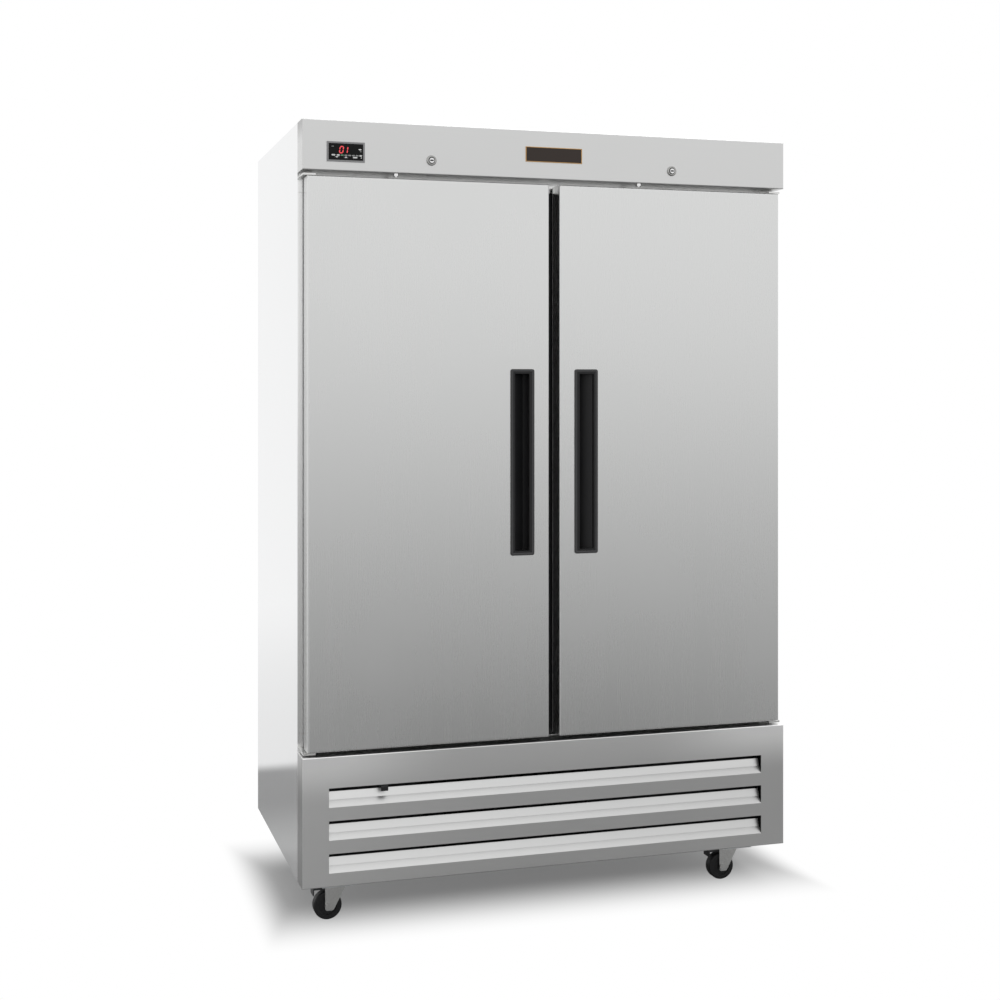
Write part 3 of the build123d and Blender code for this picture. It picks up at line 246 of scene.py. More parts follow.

# %% [markdown]
# ### Paint
# The grey is painted shade for the steel to mirror: it stands in for a dimly lit floor. It is darkest at
# one spot in front of the right door and gets lighter with each doubling of the distance from there. An even
# grey would shade both doors alike, and in the photograph they differ.

# %% Floor paint
darkest_spot = (0.55, -2.1, 0.0)
nearest = 0.5
grey_at_one_metre = 0.285
grey_per_doubling = 0.08
# painted shade behind the cabinet, which the side panel mirrors low down
darker_behind = 0.12
lightest_grey = 0.85

away = vector(tree, "DISTANCE", point, darkest_spot)["Value"]
doublings = calc(tree, "LOGARITHM", calc(tree, "MAXIMUM", away, nearest), 2.0)
grey = calc(tree, "MULTIPLY_ADD", doublings, grey_per_doubling, grey_at_one_metre)
grey = calc(tree, "MULTIPLY_ADD", behind, -darker_behind, grey)
albedo = calc(tree, "MINIMUM", grey, lightest_grey)
painted = put(tree, "ShaderNodeBsdfPrincipled", {"Base Color": albedo, "Roughness": 0.9})
painted.inputs["Specular IOR Level"].default_value = 0.0
white = put(tree, "ShaderNodeEmission", {"Color": (1, 1, 1, 1), "Strength": 1.0})
share = calc(tree, "MAXIMUM", whitened, mirrored)
blend = put(tree, "ShaderNodeMixShader", {0: share, 1: painted.outputs[0], 2: white.outputs[0]})
put(tree, "ShaderNodeOutputMaterial", {"Surface": blend.outputs[0]})
print("floor grey at one metre:", grey_at_one_metre)

# %% [markdown]
# ## Lamp
# One wide soft lamp hangs over the back right corner. It is weak, and only gives the shadow a direction
# and the upper edges a highlight. An area lamp suits this better than a point, because its size sets how
# soft the edge of a shadow is.

# %% Lamp
lamp_place = Vector((1.2, 1.0, 5.0))
lamp = bpy.data.lights.new("overhead_lamp", "AREA")
lamp.size = 2.5
lamp.energy = 14.0
lamp.spread = math.radians(80)
holder = bpy.data.objects.new("overhead_lamp", lamp)
holder.location = lamp_place
holder.rotation_euler = (-lamp_place).to_track_quat("-Z", "Y").to_euler()
holder.visible_camera = False
scene.collection.objects.link(holder)
print("lamp:", lamp.name, lamp.energy, "W")


# %% [markdown]
# ## Effects that several finishes share
# Steel, zinc, paint, plastic and rubber differ, but the same few effects show on many of them: a drawn
# grain, smears, rubbed edges with a painted highlight and fine moulded roughness. Each effect is a node group with
# named sockets.
# It is built once, and a finish places it with its own numbers, so a change to the group reaches every
# finish.

# %% Group helper
def effect(name, inputs, outputs):
    """Starts a shader node group and returns its tree, its inputs and a function that fills its outputs."""
    group = bpy.data.node_groups.new(name, "ShaderNodeTree")
    for label, kind, value in inputs:
        group.interface.new_socket(label, in_out="INPUT", socket_type=kind).default_value = value
    for label in outputs:
        group.interface.new_socket(label, in_out="OUTPUT", socket_type="NodeSocketFloat")
    given = group.nodes.new("NodeGroupInput").outputs
    result = group.nodes.new("NodeGroupOutput")

    def give(**values):
        for label, socket in values.items():
            group.links.new(socket, result.inputs[label])

    return group, given, give


print("group helper ready")

# %% [markdown]
# ### Brushed grain
# A sanding belt leaves fine scratches that all run one way. Long thin noise gives them: the coordinates
# are squeezed across the grain and stretched along it. A second, wider noise varies the belt marks, as
# real sheet shows faint bands. Scratches change the roughness and the height more than the colour.

# %% Brushed grain
band_scale = 0.045
line_share = 0.6
brushed_grain, given, give = effect(
    "brushed_grain",
    [
        ("Stretch", "NodeSocketVector", (900.0, 900.0, 9.0)),
        ("Roughness", "NodeSocketFloat", 0.3),
        ("Spread", "NodeSocketFloat", 0.1),
        ("Shade", "NodeSocketFloat", 0.06),
    ],
    ["Tone", "Rough", "Height"],
)
tree = brushed_grain
fine = vector(tree, "MULTIPLY", own_point(tree), given["Stretch"])[0]
lines = noise(tree, fine, 1.0, 4.0)[0]
bands = noise(tree, scaled(tree, fine, band_scale), 1.0, 2.0)[0]
both = calc(tree, "MULTIPLY_ADD", lines, line_share, calc(tree, "MULTIPLY", bands, 1.0 - line_share))
swing = calc(tree, "SUBTRACT", both, 0.5)
give(
    Tone=calc(tree, "MULTIPLY_ADD", swing, given["Shade"], 1.0),
    Rough=calc(tree, "MULTIPLY_ADD", swing, given["Spread"], given["Roughness"]),
    Height=lines,
)
print("group:", brushed_grain.name)

# %% [markdown]
# ### Smears
# Wiping leaves soft patches that are a little duller than the rest. Two noises, one moved about by the
# other, look less like clouds than one alone.

# %% Smears
warp = (0.35, 0.35, 0.35)
patch_range = (0.42, 0.72)
smears, given, give = effect("smears", [("Scale", "NodeSocketFloat", 3.0)], ["Mask"])
tree = smears
point = own_point(tree)
swirl = noise(tree, point, given["Scale"], 2.0)["Color"]
moved = vector(tree, "MULTIPLY_ADD", swirl, warp, point)[0]
give(Mask=fade(tree, noise(tree, moved, given["Scale"], 5.0)[0], *patch_range))
print("group:", smears.name)

# %% [markdown]
# ### Rubbed and highlit edges
# Corners are touched most, so paint and plastic turn lighter there, and the lighter edges are also a
# painted highlight. The Bevel node gives the normal that a rounded edge would have. Where it departs from
# the face's own normal, an edge is near. This needs no extra geometry and works on any solid, at a width
# given in metres.

# %% Rubbed and highlit edges
edge_range = (0.02, 0.2)
chip_range = (0.3, 0.65)
worn_and_highlit_edges, given, give = effect(
    "worn_and_highlit_edges",
    [("Width", "NodeSocketFloat", 0.0015), ("Breakup", "NodeSocketFloat", 120.0)],
    ["Mask"],
)
tree = worn_and_highlit_edges
rounded = put(tree, "ShaderNodeBevel", {"Radius": given["Width"]}, samples=4).outputs[0]
flat = put(tree, "ShaderNodeNewGeometry").outputs["Normal"]
match = vector(tree, "DOT_PRODUCT", rounded, flat)["Value"]
near = fade(tree, calc(tree, "SUBTRACT", 1.0, match), *edge_range)
chips = noise(tree, own_point(tree), given["Breakup"], 3.0)[0]
give(Mask=calc(tree, "MULTIPLY", near, fade(tree, chips, *chip_range)))
print("group:", worn_and_highlit_edges.name)

# %% [markdown]
# ### Moulded grain
# Plastic and paint come out of the mould or the spray gun with a skin of tiny bumps. The group gives
# their height and a slow mottling of the shine. One number sets the size of the bumps.

# %% Moulded grain
mottle_scale = 9.0
bump_input = ("Scale", "NodeSocketFloat", 1500.0)
moulded_grain, given, give = effect("moulded_grain", [bump_input], ["Height", "Mottle"])
tree = moulded_grain
point = own_point(tree)
give(Height=noise(tree, point, given["Scale"], 2.0)[0], Mottle=noise(tree, point, mottle_scale, 3.0)[0])
print("group:", moulded_grain.name)

# %% [markdown]
# ### Zinc spangle
# Hot-dip zinc freezes into flat crystals, each with its own tone. Voronoi cells are that shape: every
# cell holds one value, and a little noise keeps the cell edges from looking cut out with a knife.

# %% Zinc spangle
ripple = (0.006, 0.006, 0.006)
darkest_tone, tone_range = 0.92, 0.16
smoothest, rough_range = 0.36, 0.14
zinc_spangle, given, give = effect("zinc_spangle", [("Scale", "NodeSocketFloat", 90.0)], ["Tone", "Rough"])
tree = zinc_spangle
point = own_point(tree)
swirl = noise(tree, point, given["Scale"], 2.0)["Color"]
moved = vector(tree, "MULTIPLY_ADD", swirl, ripple, point)[0]
cells = put(tree, "ShaderNodeTexVoronoi", {"Vector": moved, "Scale": given["Scale"]})
cell = put(tree, "ShaderNodeSeparateColor", {0: cells.outputs["Color"]}).outputs
give(
    Tone=calc(tree, "MULTIPLY_ADD", cell[0], tone_range, darkest_tone),
    Rough=calc(tree, "MULTIPLY_ADD", cell[1], rough_range, smoothest),
)
print("group:", zinc_spangle.name)


# %% [markdown]
# ## Finishes
# A finish is a material with one Principled shader. The groups feed its colour, roughness and normal, and
# what is the same all over is set on the shader's own sockets. Three recipes cover most of the freezer:
# brushed metal, zinc, and moulded or painted surfaces. Chrome, copper, gilt, the display's window and its
# lit bars are one of a kind, so each of those is written out.

# %% Finish helpers
def use(tree, group, **inputs):
    """Places a node group in a material and returns its outputs."""
    node = put(tree, "ShaderNodeGroup", node_tree=group)
    for label, value in inputs.items():
        node.inputs[label].default_value = value
    return node.outputs


def toward(tree, mask, base, other):
    """Moves from one colour to another as a mask goes from 0 to 1."""
    mix = put(tree, "ShaderNodeMix", data_type="RGBA")
    for index, value in ((0, mask), (6, base), (7, other)):
        if isinstance(value, bpy.types.NodeSocket):
            tree.links.new(value, mix.inputs[index])
        else:
            mix.inputs[index].default_value = value
    return mix.outputs[2]


def finish(name, **sockets):
    """Starts a material and returns it with its tree and its shader."""
    material = bpy.data.materials.new(name)
    material.use_nodes = True
    tree = material.node_tree
    tree.nodes.clear()
    shader = put(tree, "ShaderNodeBsdfPrincipled", {k.replace("_", " "): v for k, v in sockets.items()})
    put(tree, "ShaderNodeOutputMaterial", {"Surface": shader.outputs[0]})
    return material, tree, shader


def paint(tree, shader, colour, roughness):
    """Feeds a colour and a roughness into the shader."""
    tree.links.new(colour, shader.inputs["Base Color"])
    tree.links.new(roughness, shader.inputs["Roughness"])


def bump(tree, shader, height, distance, strength=1.0):
    """Feeds a height into the shader's normal."""
    node = put(tree, "ShaderNodeBump", {"Height": height, "Distance": distance, "Strength": strength})
    tree.links.new(node.outputs[0], shader.inputs["Normal"])


print("finish helpers ready")

# %% [markdown]
# ### Brushed metal
# Doors are brushed up and down, the header and the grille from side to side. The grain's stretch tells
# them apart. Side to side grain also spreads a reflection upwards and downwards, so those panels get a
# higher roughness, and they shade less from top to bottom than the doors. The frame behind the doors is
# paler and smoother; its paler colour is painted light, so that it looks light in the narrow gap beside a door.

# %% Brushed metal
grain_spread = 0.04
smear_scale, smear_dulling = 2.2, 0.02
scratch_depth, scratch_strength = 0.00002, 0.2
upright_grain = (900.0, 900.0, 9.0)
level_grain = (9.0, 900.0, 900.0)
turned_grain = (700.0, 60.0, 700.0)


def brushed(name, colour, stretch, roughness, shade=0.03, painted_light=None):
    """Metal with a grain and smears; painted light and shade can make it lighter or darker by place."""
    material, tree, shader = finish(name, Metallic=1.0)
    grain = use(tree, brushed_grain, Stretch=stretch, Roughness=roughness, Spread=grain_spread, Shade=shade)
    wiped = use(tree, smears, Scale=smear_scale)["Mask"]
    tone = grain["Tone"]
    if painted_light:
        tone = calc(tree, "MULTIPLY", tone, painted_light(tree))
    rough = calc(tree, "MULTIPLY_ADD", wiped, smear_dulling, grain["Rough"])
    paint(tree, shader, scaled(tree, colour, tone), rough)
    bump(tree, shader, grain["Height"], scratch_depth, scratch_strength)
    return material


# colour, stretch of the grain, roughness and, on the doors, how much the grain shades the colour
brushed_metals = {
    "door_steel": ((0.70, 0.705, 0.70), upright_grain, 0.27, 0.022),
    # paler than the doors: painted light for the narrow gap beside a door
    "frame_steel_lightened": ((0.86, 0.86, 0.855), upright_grain, 0.2),
    "side_sheet": ((0.82, 0.825, 0.83), upright_grain, 0.10),
    "liner_sheet": ((0.74, 0.75, 0.755), upright_grain, 0.45),
    "hinge_steel": ((0.72, 0.72, 0.71), (500.0, 500.0, 40.0), 0.28),
    "fin_aluminium": ((0.66, 0.67, 0.68), (300.0, 300.0, 30.0), 0.4),
    "lock_nickel": ((0.4, 0.4, 0.39), turned_grain, 0.2),
}
finishes = {name: brushed(name, *values) for name, values in brushed_metals.items()}
print("brushed finishes:", list(finishes))

# %% [markdown]
# ### Steel of the front panels
# The header and the grille stand in front of the cabinet like shallow trays. In the photograph their
# folded ends are darker than their faces, and the grille is lighter along its upper edge and at its ends.
# The even light of the white room gives neither, so this steel has painted shade and painted light by place.

# %% Front panels
grille_low, grille_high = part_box("grille_panel")
header_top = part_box("header_panel")[1].z
# Painted shade darkens the grille's folded ends and the header's upper corners; painted light brightens the
# grille's upper edge, its ends and its lower left.
folded_turn = (0.6, 0.9)  # how far sideways a folded end faces
upper_band = (grille_high.z - 0.13, grille_high.z - 0.01)
ends_band = (0.25, 0.62)  # from the middle
header_band = (header_top - 0.06, header_top)
above_grille = grille_high.z + 0.001
end_shade = 0.5  # how much the grille's folded ends darken
header_end_shade = 0.4  # the same at the header's upper corners
edge_light = 0.12  # along the grille's upper edge
corner_light = 0.42  # more of it towards the ends
slope = 0.12  # per metre, lighter to the left on the lower part


def front_painted_light(tree):
    """Painted light and shade: near 1, lower on the folded ends and higher along the grille's upper edge."""
    surface = put(tree, "ShaderNodeNewGeometry").outputs
    normal = put(tree, "ShaderNodeSeparateXYZ", {0: surface["Normal"]}).outputs
    place = put(tree, "ShaderNodeSeparateXYZ", {0: surface["Position"]}).outputs
    on_grille = calc(tree, "LESS_THAN", place[2], above_grille)
    upper = fade(tree, place[2], *upper_band)
    ends = fade(tree, calc(tree, "ABSOLUTE", place[0]), *ends_band)
    light = calc(tree, "MULTIPLY", upper, calc(tree, "MULTIPLY_ADD", ends, corner_light, edge_light))
    lower = calc(tree, "SUBTRACT", 1.0, upper)
    light = calc(tree, "MULTIPLY_ADD", calc(tree, "MULTIPLY", lower, place[0]), -slope, light)
    face = calc(tree, "MULTIPLY_ADD", on_grille, light, 1.0)
    dark = calc(tree, "MULTIPLY", fade(tree, place[2], *header_band), header_end_shade)
    dark = calc(tree, "MULTIPLY_ADD", on_grille, end_shade, dark)
    folded = fade(tree, calc(tree, "ABSOLUTE", normal[0]), *folded_turn)
    return calc(tree, "MULTIPLY", face, calc(tree, "SUBTRACT", 1.0, calc(tree, "MULTIPLY", folded, dark)))


finishes["front_steel"] = brushed("front_steel", (0.66, 0.662, 0.658), level_grain, 0.34, painted_light=front_painted_light)
print("front panels:", finishes["front_steel"].name)

# %% [markdown]
# ### Zinc sheet and zinc-plated steel
# The back, the top and the base are zinc-coated sheet with its crystals. The casters are plated in a
# bath, which gives a finer and more even grey, so the same group is used with smaller cells.

# %% Zinc
zinc_edge = 0.0012
# lighter edges on zinc: partly wear, partly a painted highlight
edge_wear_and_light_gain = 1.3


def zinc(name, colour, scale):
    """Zinc with crystals and lighter edges."""
    material, tree, shader = finish(name, Metallic=1.0)
    spangle = use(tree, zinc_spangle, Scale=scale)
    rub = use(tree, worn_and_highlit_edges, Width=zinc_edge)["Mask"]
    base = scaled(tree, colour, spangle["Tone"])
    lighter = tuple(min(1.0, edge_wear_and_light_gain * v) for v in colour) + (1,)
    paint(tree, shader, toward(tree, rub, base, lighter), spangle["Rough"])
    return material


finishes["zinc_sheet"] = zinc("zinc_sheet", (0.62, 0.64, 0.65), 90.0)
finishes["zinc_steel"] = zinc("zinc_steel", (0.58, 0.58, 0.57), 420.0)
print("zinc finishes:", list(finishes)[-2:])

# %% [markdown]
# ### Moulded and painted surfaces
# Black plastic, white plastic, nylon, rubber and paint share one recipe: a base colour that is lighter on
# rubbed edges, a shine that varies slowly, and a skin of fine bumps. The lighter edges are partly wear and
# partly a painted highlight. Shine that is the same all over is set on the shader.

# %% Moulded and painted
mottled_tone = 0.2
mottled_shine = 0.16


def moulded(name, colour, roughness, specular, bumps, depth, edge_wear_and_light, edge=0.0012):
    """Plastic, rubber or paint; bumps is how fine its skin is and edge_wear_and_light the colour of its worn and
    highlit edges.
    """
    material, tree, shader = finish(name, Specular_IOR_Level=specular)
    skin = use(tree, moulded_grain, Scale=bumps)
    rub = use(tree, worn_and_highlit_edges, Width=edge)["Mask"]
    tone = calc(tree, "MULTIPLY_ADD", skin["Mottle"], mottled_tone, 1.0 - mottled_tone / 2)
    rough = calc(tree, "MULTIPLY_ADD", skin["Mottle"], mottled_shine, roughness - mottled_shine / 2)
    base = scaled(tree, colour, tone)
    paint(tree, shader, toward(tree, rub, base, edge_wear_and_light + (1,)), rough)
    bump(tree, shader, skin["Height"], depth)
    return material


# colour, roughness, specular, bumps and their depth, colour of worn and highlit edges and, on wheels, their width
moulded_goods = {
    "black_plastic": ((0.013, 0.013, 0.014), 0.42, 0.3, 1500.0, 0.00005, (0.05, 0.05, 0.052)),
    "grey_plastic": ((0.05, 0.05, 0.052), 0.4, 0.35, 1300.0, 0.00004, (0.09, 0.09, 0.092)),
    "bezel_plastic": ((0.26, 0.26, 0.265), 0.35, 0.4, 1300.0, 0.00003, (0.34, 0.34, 0.345)),
    "white_abs": ((0.8, 0.81, 0.81), 0.4, 0.5, 1200.0, 0.00004, (0.84, 0.84, 0.84)),
    "nylon": ((0.76, 0.75, 0.7), 0.45, 0.5, 900.0, 0.00004, (0.82, 0.81, 0.78)),
    "gasket_vinyl": ((0.03, 0.03, 0.032), 0.5, 0.4, 700.0, 0.00004, (0.07, 0.07, 0.07)),
    "key_rubber": ((0.02, 0.02, 0.022), 0.55, 0.3, 1400.0, 0.00004, (0.05, 0.05, 0.05)),
    "wheel_rubber": ((0.012, 0.012, 0.013), 0.5, 0.35, 800.0, 0.0001, (0.035, 0.034, 0.033), 0.003),
    "black_paint": ((0.016, 0.016, 0.018), 0.35, 0.4, 320.0, 0.00012, (0.12, 0.12, 0.12)),
    "coated_wire": ((0.6, 0.62, 0.64), 0.35, 0.5, 500.0, 0.00006, (0.7, 0.71, 0.72)),
    "light_lens": ((0.86, 0.88, 0.88), 0.3, 0.5, 260.0, 0.0001, (0.9, 0.91, 0.91)),
    "foam": ((0.8, 0.68, 0.42), 0.85, 0.2, 260.0, 0.0008, (0.84, 0.74, 0.5)),
}
for name, values in moulded_goods.items():
    finishes[name] = moulded(name, *values)
print("moulded finishes:", list(moulded_goods))

# %% [markdown]
# ### Chrome, copper and the display's window
# Lock cylinders are chromed and turned, copper lines go brown in patches, and the window over the digits
# is smoked plastic with a soft shine. No two of them are made alike, so no recipe would save anything.

# %% Chrome, copper, window
finishes["chrome"], tree, shader = finish("chrome", Metallic=1.0)
turned = use(tree, brushed_grain, Stretch=turned_grain, Roughness=0.14, Spread=0.12, Shade=0.08)
paint(tree, shader, scaled(tree, (0.78, 0.78, 0.78), turned["Tone"]), turned["Rough"])

finishes["copper"], tree, shader = finish("copper", Metallic=1.0)
tarnish = use(tree, smears, Scale=14.0)["Mask"]
aged = toward(tree, tarnish, (0.72, 0.36, 0.2, 1), (0.34, 0.17, 0.1, 1))
paint(tree, shader, aged, calc(tree, "MULTIPLY_ADD", tarnish, 0.25, 0.22))

finishes["display_glass"], tree, shader = finish("display_glass", Specular_IOR_Level=0.14)
wiped = use(tree, smears, Scale=30.0)["Mask"]
smoked = toward(tree, wiped, (0.003, 0.003, 0.003, 1), (0.006, 0.006, 0.006, 1))
paint(tree, shader, smoked, calc(tree, "MULTIPLY_ADD", wiped, 0.12, 0.12))
print("finishes:", len(finishes))

# %% [markdown]
# ## Finishes onto the solids
# The record says which slot each solid takes, so one loop covers them all. Only the stainless pieces and
# the display's bezel need a second look: the doors and the shelf standards take the upright grain, the
# header and the grille the level one with its painted light and shade, the face frame has a paler steel
# with painted light, and the bezel is grey.

# %% Assign finishes
own_finish = {
    "left_door_skin": "door_steel",
    "right_door_skin": "door_steel",
    "shelf_standards": "door_steel",
    "header_panel": "front_steel",
    "grille_panel": "front_steel",
    "door_frame": "frame_steel_lightened",
    "controller_housing": "bezel_plastic",
}
for row in frame["record"]["subparts"]:
    solid = nodes[row["node"]]
    solid.data.materials.clear()
    solid.data.materials.append(finishes[own_finish.get(row["node"], row["material_slot"])])
print("solids with a finish:", sum(1 for n in nodes.values() if n.data.materials))


# %% [markdown]
# ## Mesh helpers
# The added pieces are made of four kinds of shape: bodies and rings turned about an axis, bars with a
# drawn outline, and frames with a section swept round a rectangle. A helper builds each kind into one
# mesh, so that a row of screws is one piece and not fifty. A screw modifier or a bevelled curve could do
# some of this, but a mesh written point by point keeps mitres sharp and needs nothing applied.

# %% Pieces and loops
def piece(name, body, materials, build, smooth=35.0):
    """Builds one mesh piece in place, gives it its finishes and lets it ride on a body."""
    shape = bmesh.new()
    build(shape)
    bmesh.ops.recalc_face_normals(shape, faces=shape.faces)
    mesh = bpy.data.meshes.new(name)
    shape.to_mesh(mesh)
    shape.free()
    mesh.shade_smooth()
    mesh.set_sharp_from_angle(angle=math.radians(smooth))
    made = bpy.data.objects.new(name, mesh)
    scene.collection.objects.link(made)
    for material in materials:
        mesh.materials.append(material)
    print("piece:", name, short(made.dimensions))
    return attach(made, body)


def join_loops(shape, loops, closed=True):
    """Fills the faces between neighbouring loops and, if closed, between the last and the first."""
    following = loops[1:] + loops[:1] if closed else loops[1:]
    faces = []
    for lower, upper in zip(loops, following):
        for i in range(len(lower)):
            j = (i + 1) % len(lower)
            faces.append(shape.faces.new((lower[i], lower[j], upper[j], upper[i])))
    return faces


def cap_loops(shape, loops, material=0):
    """Fills the first loop, the last loop and the faces between neighbours."""
    faces = [shape.faces.new(loops[0]), shape.faces.new(loops[-1])]
    faces += join_loops(shape, loops, closed=False)
    for face in faces:
        face.material_index = material


def turned_loops(shape, centre, axis, profile, steps):
    """Turns (radius, height) or (radius, height, outline) points about an axis, a loop for each."""
    axis = Vector(axis).normalized()
    across = axis.orthogonal().normalized()
    up = axis.cross(across)
    loops = []
    for radius, height, *outline in profile:
        loop = []
        for i in range(steps):
            angle = 2 * math.pi * i / steps
            reach = radius * (outline[0](angle) if outline else 1.0)
            offset = reach * (math.cos(angle) * across + math.sin(angle) * up)
            loop.append(shape.verts.new(Vector(centre) + height * axis + offset))
        loops.append(loop)
    return loops


print("piece and loop helpers ready")

# %% The four kinds of shape
corner_steps = 5


def turned_body(shape, centre, axis, profile, steps=24):
    """A turned profile with both ends closed."""
    cap_loops(shape, turned_loops(shape, centre, axis, profile, steps))


def turned_ring(shape, centre, axis, section, steps=40):
    """A turned closed section, with the middle left open."""
    return join_loops(shape, turned_loops(shape, centre, axis, section, steps))


def bar(shape, outline, origin, depth, bevel=0.0, material=0):
    """Raises an outline of (x, z) points towards -Y by a depth, with its front edge bevelled."""
    middle = sum((Vector(p) for p in outline), Vector((0, 0))) / len(outline)
    loops = []
    for height, inset in ((0.0, 0.0), (depth - bevel, 0.0), (depth, bevel)):
        loop = []
        for point in outline:
            away = Vector(point) - middle
            flat = middle + away * max(0.0, 1.0 - inset / away.length)
            loop.append(shape.verts.new(Vector(origin) + Vector((flat.x, -height, flat.y))))
        loops.append(loop)
    cap_loops(shape, loops, material)


def swept_frame(shape, low, high, section, corner=0.0):
    """Sweeps (inset, depth) points round a rectangle that faces -Y, with mitred or rounded corners."""
    turns = corner_steps + 1 if corner else 1
    loops = []
    for inset, depth in section:
        radius = max(corner - inset, 0.0)
        left, right = low.x + inset + radius, high.x - inset - radius
        foot, top = low.z + inset + radius, high.z - inset - radius
        loop = []
        for x, z, start in ((right, top, 0), (left, top, 90), (left, foot, 180), (right, foot, 270)):
            for k in range(turns):
                angle = math.radians(start + 90 * k / corner_steps)
                spot = (x + radius * math.cos(angle), low.y + depth, z + radius * math.sin(angle))
                loop.append(shape.verts.new(spot))
        loops.append(loop)
    join_loops(shape, loops)


front_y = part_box("left_door_skin")[0].y
joint_places = {j["name"]: j.get("pos_m") for j in frame["joints"]}
print("front of the doors at", round(front_y, 4))

# %% [markdown]
# ## Plate on the header
# A small enamelled plate sits in the middle of the header: a dark field inside a thin gilt frame. It is
# left bare. A flat decal would look painted on, so the frame is raised and the field lies a little lower.

# %% Plate finishes
gilt, tree, shader = finish("gilt_frame", Metallic=1.0)
rub = use(tree, smears, Scale=60.0)["Mask"]
worn = toward(tree, rub, (0.62, 0.38, 0.16, 1), (0.42, 0.25, 0.11, 1))
paint(tree, shader, worn, calc(tree, "MULTIPLY_ADD", rub, 0.2, 0.25))
enamel = moulded("brown_enamel", (0.022, 0.011, 0.006), 0.3, 0.4, 300.0, 0.00005, (0.05, 0.028, 0.016))
print("plate finishes:", gilt.name, enamel.name)

# %% Header plate
plate_middle = Vector((-0.0015, front_y, 2.049))
half_width, half_height = 0.0805, 0.0205
frame_width = 0.0022
frame_height = 0.0018
frame_bevel = 0.3 * frame_height
field_depth = 0.0012
plate_section = [
    (0.0, 0.0),
    (0.0, frame_bevel - frame_height),
    (frame_bevel, -frame_height),
    (frame_width - frame_bevel, -frame_height),
    (frame_width, -field_depth),
    (frame_width, 0.0),
]


def header_plate(shape):
    half = Vector((half_width, 0.0, half_height))
    swept_frame(shape, plate_middle - half, plate_middle + half, plate_section)
    a, b = half_width - frame_width, half_height - frame_width
    bar(shape, [(-a, -b), (a, -b), (a, b), (-a, b)], plate_middle, field_depth, material=1)


piece("header_plate", "cabinet", [gilt, enamel], header_plate)

# %% [markdown]
# ## Lit digits and key marks
# The controller shows two slanted digits on a seven-bar display. Only the lit bars are made, each a flat
# six-sided strip as on a real display, and a red emission makes them glow without lighting the room. A
# row of small lamps and signs lies under them. The keys carry pale marks that ride on their own keys, so
# they travel when a key is pressed.

# %% Digits
bezel_low, bezel_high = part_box("controller_housing")
window_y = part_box("display_window")[0].y
digit_height = 0.0165
digit_width = 0.0088
digit_drop = 0.0208
bar_width = 0.0027
bar_gap = 0.0006
bar_depth = 0.0002
slant = 0.15
lit_bars = {0.0383: "abcdef", 0.0498: "bc"}  # place across the window, and which bars are lit
# place of a bar across and up, in widths and heights of a digit, and whether it lies level
bar_places = {
    "a": (0.0, 0.5, True),
    "b": (0.5, 0.25, False),
    "c": (0.5, -0.25, False),
    "d": (0.0, -0.5, True),
    "e": (-0.5, -0.25, False),
    "f": (-0.5, 0.25, False),
}

red_glow, tree, shader = finish("red_glow", Roughness=0.4, Emission_Strength=1.0)
flicker = use(tree, moulded_grain, Scale=900.0)["Mottle"]
glow = toward(tree, flicker, (0.75, 0.05, 0.07, 1), (0.9, 0.1, 0.11, 1))
tree.links.new(glow, shader.inputs["Emission Color"])
shader.inputs["Base Color"].default_value = (0.2, 0.01, 0.01, 1)


def strip(length, width):
    """Outline of one display bar, pointed at both ends."""
    a, b = length / 2, width / 2
    return [(-a, 0), (-a + b, -b), (a - b, -b), (a, 0), (a - b, b), (-a + b, b)]


def on_window(across, drop):
    """A point on the window, counted from the bezel's upper left corner."""
    return (bezel_low.x + across, window_y, bezel_high.z - drop)


def digits(shape):
    for across, outside_painted_shadow in lit_bars.items():
        for letter in outside_painted_shadow:
            dx, dz, level = bar_places[letter]
            flat = strip((digit_width if level else digit_height / 2) - bar_gap, bar_width)
            points = flat if level else [(v, u) for u, v in flat]
            moved = [(u + dx * digit_width, v + dz * digit_height) for u, v in points]
            slanted = [(u + slant * v, v) for u, v in moved]
            bar(shape, slanted, on_window(across, digit_drop), bar_depth)


piece("display_digits", "cabinet", [red_glow], digits)

# %% Key marks
ink_depth = 0.00015
ink_bevel = 0.00005
pale_ink = moulded("pale_ink", (0.72, 0.73, 0.72), 0.5, 0.3, 900.0, 0.00002, (0.8, 0.8, 0.8))
key_marks = {
    "key_down": [(-0.0042, 0.0018), (0.0042, 0.0018), (0, -0.0022)],
    "key_up": [(-0.0042, -0.0018), (0.0042, -0.0018), (0, 0.0022)],
    "key_set": [(-0.0055, -0.0017), (0.0055, -0.0017), (0.0055, 0.0017), (-0.0055, 0.0017)],
}
for key, outline in key_marks.items():
    low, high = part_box(key)
    middle = ((low.x + high.x) / 2, low.y, (low.z + high.z) / 2)

    def mark(shape):
        bar(shape, outline, middle, ink_depth, ink_bevel)

    piece(key + "_mark", key, [pale_ink], mark)

# %% Window marks
dim_ink = moulded("dim_ink", (0.3, 0.305, 0.3), 0.5, 0.3, 900.0, 0.00002, (0.36, 0.36, 0.36))
green_lamp = moulded("green_lamp", (0.12, 0.30, 0.17), 0.3, 0.5, 900.0, 0.00002, (0.2, 0.4, 0.25))
inks = [pale_ink, dim_ink, green_lamp]
row_drop = 0.0349
